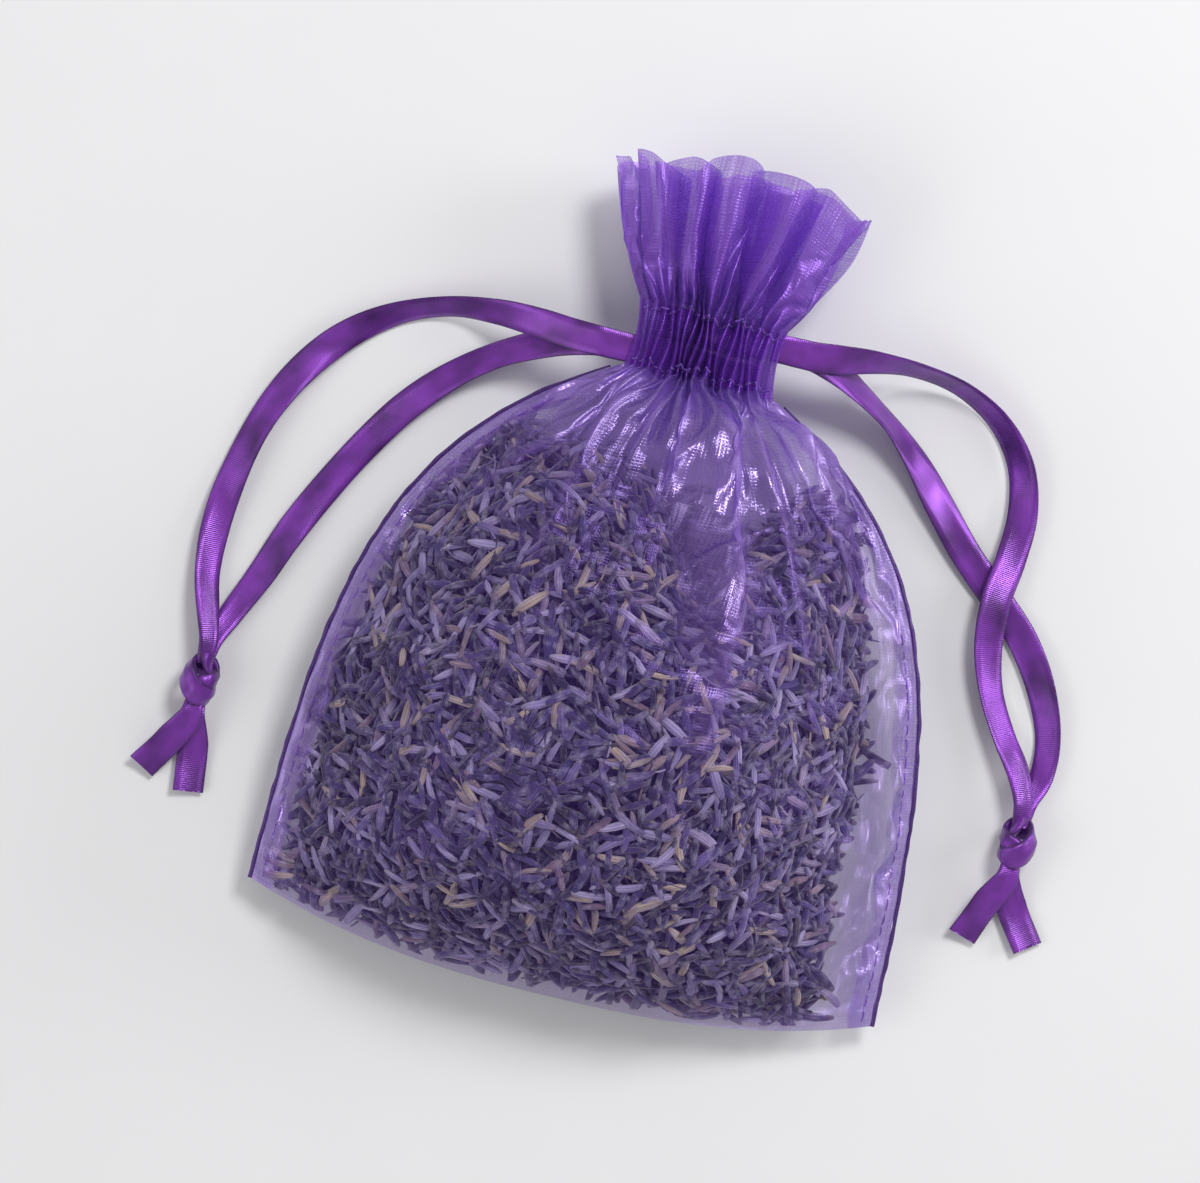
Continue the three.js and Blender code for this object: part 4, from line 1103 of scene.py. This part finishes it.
class SACHET_OT_neck(bpy.types.Operator):
    """Makes the gathered casing with its stitching, and the ribbon inside it"""
    bl_idname = "sachet.neck"
    bl_label = "Casing"

    def execute(self, context):
        look = organza_look("organza_casing", context.scene.sachet_cloth.ruffle_colour, 0.6, 0.78)
        stitch = stitch_tree(thread_material())
        for side_name, side, body in SIDES:
            casing = stand_in(casing_cloth(side_name + "_casing_cloth", side, look), side_name + "_casing", body)
            for row, q in zip(("lower", "upper"), STITCHED_ROWS):
                u = np.linspace(-0.86, 0.86, 240)
                path = casing_point(u, q + 0 * u, side) + [0, 0, side * 0.1]
                name = f"{side_name}_{row}_stitching"
                stand_in(stitches(name + "_thread", path, stitch, 1.7, 1.15, 0.1), name, body)
            for hand_name, hand, lane in HANDS:
                name = f"{hand_name}_ribbon_{side_name}_run"
                stand_in(self.run_in_casing(context, name + "_satin", side, hand, lane), name, body)
        return {"FINISHED"}

    def run_in_casing(self, context, name, side, hand, lane):
        """The stretch of one ribbon that lies inside one side of the casing."""
        size = context.scene.sachet_ribbon
        u = np.linspace(-0.74, 0.7, 9)
        out = 0.15 + 3.7 * (1 - np.abs(u) ** SIDE_FULLNESS) - 0.62
        wave = 0.12 * np.sin(16 * u + lane)
        route = np.stack([-hand * u * NECK_HALF, lane + wave, NECK_HEIGHT + side * out], axis=1)
        return strap(name, route, 60, size.width / MM, size.thickness / MM, [0, 6, -6, 5, 0], ribbon_material())[0]


class SACHET_OT_ruffle(bpy.types.Operator):
    """Makes the two halves of the ruffle beyond the casing"""
    bl_idname = "sachet.ruffle"
    bl_label = "Ruffle"

    def execute(self, context):
        cloth = context.scene.sachet_cloth
        look = organza_look("organza_ruffle", cloth.ruffle_colour, cloth.ruffle_haze, 0.84)
        for side_name, side, body in SIDES:
            piece = ruffle_cloth(side_name + "_ruffle_cloth", side, look)
            stand_in(piece, side_name + "_ruffle", body)
        return {"FINISHED"}


class SACHET_OT_seams(bpy.types.Operator):
    """Makes the rolled edges and the stitching of both side seams"""
    bl_idname = "sachet.seams"
    bl_label = "Side seams"

    def execute(self, context):
        look = organza_look("organza_edge", context.scene.sachet_cloth.body_colour, 0.7, 0.88, depth=0.4)
        stitch = bpy.data.node_groups.get("run_stitches") or stitch_tree(thread_material())
        v = np.linspace(0.0, 0.992, 280)
        x, y = half_width(v), along_body(1.0, v)
        slope = unit(np.gradient(np.stack([x, y], axis=1), axis=0))
        out = np.stack([slope[:, 1], -slope[:, 0]], axis=1)
        for hand_name, hand, _ in HANDS:
            seam = hand_name + "_side_seam"
            edge = self.rolled_edge(hand_name + "_seam_edge", v, x, y, out, hand, look)
            stand_in(edge, seam, "pouch")
            inner = np.stack([hand * (x - SEAM_INSET * out[:, 0]), y - SEAM_INSET * out[:, 1]], axis=1)
            surface = body_sheet(hand * (1 - SEAM_INSET / x), v, FRONT)[0][:, 2] + 0.08
            row = np.column_stack([inner, surface])[(v > 0.012) & (v < 0.95)]
            sewn = stitches(hand_name + "_seam_stitching", row, stitch, 1.9, 1.3, 0.085)
            stand_in(sewn, seam, "pouch")
        return {"FINISHED"}

    def rolled_edge(self, name, v, x, y, out, hand, look):
        """The turned edge of one side seam, along the pouch's outline. out points away from the pouch."""
        wave = 0.12 * smooth_noise(v * 30, v * 0 + hand, 51)
        reach = hand * (x + 0.2 * out[:, 0] + wave)
        path = np.stack([reach, y + 0.2 * out[:, 1], seam_height(1.0, v) + 0 * v], axis=1)
        outward = np.stack([hand * out[:, 0], out[:, 1], 0 * v], axis=1)
        up = np.array([0, 0, 1.0])
        angles = np.linspace(0, 2 * math.pi, 12, endpoint=False)
        thick = (0.85 + 0.2 * smooth_noise(v * 40, v * 0 + 3, 53)) * (1 - 0.55 * ease(v, 0.9, 0.99))
        sections = np.stack([
            path + outward * (0.3 * thick * math.cos(a))[:, None] + up * (0.26 * thick * math.sin(a))[:, None]
            for a in (angles if hand > 0 else -angles)
        ], axis=1)
        points, faces = band(path, sections)
        along = np.linspace(0, SEAM_LENGTH, len(v))
        uv = np.array([[a, 2 * b] for a in along for b in angles] + [[0, 0], [SEAM_LENGTH, 0]])
        state = {"slack": np.zeros(len(points)), "gathered": np.ones(len(points)), "folded": np.zeros(len(points))}
        return mesh_piece(name, points, faces, look, state, uv)


def bud_shape(name, length, width, kind, collection):
    """One dried bud or crumb, lying along X. kind is plump, slim, open or stalk."""
    sides = 6
    bend, profile = BUD_PROFILES[kind]
    rings, along, uv = [], [], []
    for s, r in profile:
        for i in range(sides):
            angle = 2 * math.pi * i / sides + 0.35 * s
            ridge = 1 + 0.1 * math.cos(3 * angle)
            rings.append((
                (s - 0.5) * length,
                r * ridge * width / 2 * math.cos(angle) + bend * length * (4 * (s - 0.5) ** 2 - 0.5),
                0.86 * r * ridge * width / 2 * math.sin(angle),
            ))
            along.append(s)
            uv.append((s * length / MM, i / sides))
    end_bend = bend * length * 0.5
    rings += [(-0.5 * length, end_bend, 0), (0.5 * length * (0.9 if kind == "open" else 1), end_bend, 0)]
    along += [0, 1]
    uv += [(0, 0), (length / MM, 0)]
    faces = [*grid_faces(len(profile), sides, closed=True), *cap_faces(len(profile), sides)]
    shape = mesh_piece(name, np.array(rings) / MM, faces, None, {"along": along}, np.array(uv))
    bpy.context.scene.collection.objects.unlink(shape)
    collection.objects.link(shape)


def fill_height(u, v, side):
    """How far the lavender reaches from the seam plane under the cloth of one side."""
    x = u * half_width(v)
    s = (v * BODY_LENGTH - 0.8) / (BODY_LENGTH - 0.8 - fill_line(x, side))
    plump = np.clip(1 - np.abs(2 * np.clip(s, 0, 1) - 1) ** 6, 0, 1) ** 0.5
    cloth = side * (body_sheet(u, v, side, folds=False)[0][..., 2] - seam_height(u, v))
    return np.clip(cloth - 0.45, 0, None) * plump


def bed(side, depth, seed):
    """A layer of the lavender, that far under its outer face, and how densely each point of it is strewn."""
    u, v = body_grid(90, 90, -0.97, 0.97, 0.012, 0.92)
    x, y, middle = u * half_width(v), along_body(u, v), seam_height(u, v)
    points = np.stack([x, y, middle + side * fill_height(u, v, side)], axis=-1)
    normal = unit(np.cross(np.gradient(points, axis=1), np.gradient(points, axis=0)) * side)
    points = points - normal * depth
    points[..., 2] = np.where(side * (points[..., 2] - middle) < 0.3, middle + side * 0.3, points[..., 2])
    if side == BACK:
        points[..., 2] = np.maximum(points[..., 2], 0.5)
    below, inward = (1 - v) * BODY_LENGTH, (1 - np.abs(u)) * half_width(v)
    ragged = fill_line(x, side) + 1.5 * smooth_noise(x / 4, y / 4, seed)
    slack_edge = 1.2 + slack_width(u, v) + 0.8 * smooth_noise(x * 0 + 3, y / 5, seed + 1)
    fill = ease(below, ragged - 1.5, ragged + 1.5) * ease(inward, slack_edge - 1.0, slack_edge + 0.8)
    return points, fill * ease(y - along_body(u, 0 * v), 0.8, 2.4)


def layered_bed(side):
    """All the layers of one side of the lavender: their points, their faces and how densely each is strewn."""
    points, faces, fills, start = [], [], [], 0
    for depth in BUD_LAYERS:
        layer, fill = bed(side, depth, 61 + side)
        points.append(layer.reshape(-1, 3))
        faces.append(grid_faces(*fill.shape, flip=side == BACK) + start)
        fills.append(fill.ravel())
        start += fill.size
    return np.vstack(points), np.vstack(faces), np.concatenate(fills)


class SACHET_OT_lavender(bpy.types.Operator):
    """Strews the dried buds under both sides of the cloth, over a shaded heart"""
    bl_idname = "sachet.lavender"
    bl_label = "Lavender"

    def execute(self, context):
        size = context.scene.sachet_lavender
        shapes = bpy.data.collections.new("bud_shapes")
        for i, kind in enumerate(BUD_KINDS):
            longer, wider = 1 + 0.05 * math.sin(2.4 * i), 1 + 0.08 * math.cos(3.1 * i)
            bud_shape(f"bud_shape_{i}", size.bud_length * longer, size.bud_width * wider, kind, shapes)
        tree = strew_tree(dried_bud("dried_buds", BUD_TONES))
        limits = {FRONT: self.cloth_of("front_cloth"), BACK: self.cloth_of("back_cloth")}
        for side_name, side, _ in SIDES:
            points, faces, fills = layered_bed(side)
            left = points[:, 0] < BUDS_SPLIT_X
            for half_name, half in (("left", left), ("right", ~left)):
                name = f"{side_name}_{half_name}_buds"
                source = mesh_piece(name + "_bed", points, faces, None, {"fill": fills * half})
                mesh = run_nodes(name, source, tree, {
                    "Shapes": shapes, "Shape Count": len(BUD_KINDS), "Spacing": size.spacing, "Least Size": 0.82,
                    "Greatest Size": 1.1, "Tilt": 0.32, "Seed": size.seed + side})
                bpy.data.objects.remove(source)
                co = np.zeros(len(mesh.vertices) * 3, np.float32)
                mesh.vertices.foreach_get("co", co)
                co = self.kept_inside(co.reshape(-1, 3).astype(float) / MM, limits)
                mesh.vertices.foreach_set("co", (co * MM).astype(np.float32).ravel())
                mesh.update()
                mesh.shade_smooth()
                stand_in(piece_from(name, mesh), "lavender_fill", "pouch")
        for shape in list(shapes.objects):
            bpy.data.objects.remove(shape)
        bpy.data.collections.remove(shapes)
        core = stand_in(self.core(), "lavender_fill", "pouch")
        return {"FINISHED"}

    def cloth_of(self, name):
        mesh = bpy.data.objects[name].data
        return BVHTree.FromPolygons([v.co / MM for v in mesh.vertices], [tuple(p.vertices) for p in mesh.polygons])

    def kept_inside(self, co, limits):
        """The points moved where they would stand out of the cloth, as seen from the middle of the pouch."""
        v = np.clip((co[:, 1] - BOTTOM_Y) / BODY_LENGTH, 0, 1)
        reach = half_width(v) - 0.6
        co[:, 0] = np.clip(co[:, 0], -reach, reach)
        co[:, 1] = np.maximum(co[:, 1], along_body(co[:, 0] / half_width(v), 0) + 0.6)
        middle = seam_height(co[:, 0] / half_width(v), v)
        up, down = Vector((0, 0, 1)), Vector((0, 0, -1))
        for i, (x, y, z) in enumerate(co):
            start = Vector((x, y, middle[i]))
            if z > middle[i]:
                top = limits[FRONT].ray_cast(start, up)[0]
                co[i, 2] = z if top is None else min(z, max(top.z - 0.16, middle[i]))
            else:
                low = limits[BACK].ray_cast(start, down)[0]
                co[i, 2] = z if low is None else max(z, min(low.z + 0.12, middle[i]))
        return co

    def core(self):
        """The closed heart of the lavender, under the strewn layers."""
        columns, rows = 90, 80
        a, b = np.meshgrid(np.linspace(-1, 1, columns), np.linspace(0, 1, rows))
        v = b.copy()
        for _ in range(5):
            v = np.clip(v, 0, 0.95)
            right = half_width(v) - slack_width(1, v) - 4
            left = half_width(v) - slack_width(-1, v) - 4
            x = np.where(a > 0, a * right, a * left)
            u = x / half_width(v)
            low_y = along_body(u, 0 * v) + 4
            y = mix(low_y, NECK_Y - fill_line(x, FRONT) - 3.5, b)
            v = (y - along_body(u, 0 * v)) / (NECK_Y - along_body(u, 0 * v))
        rim = (1 - np.abs(a) ** 8) ** 0.6 * (1 - np.abs(2 * b - 1) ** 10) ** 0.6
        middle = seam_height(u, v)
        lumps = 0.5 * smooth_noise(x / 2.1, y / 2.1, 71)
        top = middle + 0.2 + np.clip(fill_height(u, v, FRONT) - 2.5 + lumps, 0, None) * rim
        low = np.maximum(middle - 0.2 - np.clip(fill_height(u, v, BACK) - 2.5 + lumps, 0, None) * rim, 1.6)
        points = np.vstack([np.stack([x, y, z], axis=-1).reshape(-1, 3) for z in (top, low)])
        n = columns * rows
        faces = [*grid_faces(rows, columns), *(grid_faces(rows, columns, flip=True) + n)]
        places = np.arange(n).reshape(rows, columns)
        edge = [*places[0], *places[1:, -1], *places[-1, -2::-1], *places[-2:0:-1, 0]]
        faces += [[a + n, b + n, b, a] for a, b in zip(edge, edge[1:] + edge[:1])]
        return mesh_piece("lavender_core", points, faces, lavender_depth("lavender_depth"))


class SACHET_OT_stage(bpy.types.Operator):
    """Sets the camera straight above the pouch, the floor and the soft lamps"""
    bl_idname = "sachet.stage"
    bl_label = "Stage"

    def execute(self, context):
        stage, scene = context.scene.sachet_stage, context.scene
        turned = Euler((0, 0, stage.lean))
        aim = Vector((-0.0055, -0.0005, 0.0))
        aim.rotate(turned)
        lens = bpy.data.cameras.new("camera")
        lens.sensor_width = 36
        lens.lens = 36 * (stage.view_height - 0.012) / stage.view_width
        lens.clip_start, lens.clip_end = 0.05, 20
        camera = bpy.data.objects.new("camera", lens)
        camera.location = (aim.x, aim.y, stage.view_height)
        camera.rotation_euler = turned
        scene.collection.objects.link(camera)
        scene.camera = camera
        half = 3.0
        corners = np.array([(-half, -half, 0), (half, -half, 0), (half, half, 0), (-half, half, 0)]) / MM
        floor = mesh_piece("floor", corners, [(0, 1, 2, 3)], paper_floor("paper_floor", tuple(stage.floor_colour)))
        for name, place, size, power in (
            ("key_lamp", (0.30, 0.36, 0.62), 0.24, stage.key_power),
            ("fill_lamp", (-0.55, -0.15, 0.45), 0.5, stage.fill_power),
            ("rim_lamp", (0.62, 0.1, 0.24), 0.3, stage.rim_power),
        ):
            lamp = bpy.data.lights.new(name, "AREA")
            lamp.shape, lamp.size, lamp.energy = "DISK", size, power
            holder = bpy.data.objects.new(name, lamp)
            where = Vector(place)
            where.rotate(turned)
            holder.location = where
            holder.rotation_euler = (-where).to_track_quat("-Z", "Y").to_euler()
            scene.collection.objects.link(holder)
        scene.world = scene.world or bpy.data.worlds.new("surround")
        scene.world.use_nodes = True
        surround = scene.world.node_tree.nodes["Background"]
        surround.inputs["Color"].default_value = (1, 1, 1, 1)
        surround.inputs["Strength"].default_value = stage.sky
        scene.view_settings.view_transform = "Standard"
        return {"FINISHED"}


class SACHET_PT_panel(bpy.types.Panel):
    """Lists the sachet's sizes, colours and pieces"""
    bl_idname = "SACHET_PT_panel"
    bl_label = "Lavender sachet"
    bl_space_type = "VIEW_3D"
    bl_region_type = "UI"
    bl_category = "Sachet"

    def draw(self, context):
        for title, group in SETTINGS:
            box = self.layout.box()
            box.label(text=title)
            owner = getattr(context.scene, group)
            for key in owner.bl_rna.properties.keys():
                if key not in ("rna_type", "name"):
                    box.prop(owner, key)
        for operator in OPERATORS:
            self.layout.operator(operator.bl_idname)


SETTINGS = [("Cloth", "sachet_cloth"), ("Ribbon", "sachet_ribbon"), ("Lavender", "sachet_lavender"),
            ("Stage", "sachet_stage")]
GROUPS = [ClothSettings, RibbonSettings, LavenderSettings, StageSettings]
OPERATORS = [SACHET_OT_stage, SACHET_OT_ribbons, SACHET_OT_body, SACHET_OT_neck, SACHET_OT_ruffle, SACHET_OT_seams,
             SACHET_OT_lavender]


def register():
    for made in [*GROUPS, *OPERATORS, SACHET_PT_panel]:
        bpy.utils.register_class(made)
    for (_, key), group in zip(SETTINGS, GROUPS):
        setattr(bpy.types.Scene, key, PointerProperty(type=group))


def unregister():
    for _, key in SETTINGS:
        delattr(bpy.types.Scene, key)
    for made in reversed([*GROUPS, *OPERATORS, SACHET_PT_panel]):
        bpy.utils.unregister_class(made)


def main():
    register()
    bpy.ops.sachet.stage()
    bpy.ops.sachet.ribbons()
    bpy.ops.sachet.body()
    bpy.ops.sachet.neck()
    bpy.ops.sachet.ruffle()
    bpy.ops.sachet.seams()
    bpy.ops.sachet.lavender()


if __name__ == "__main__":
    main()
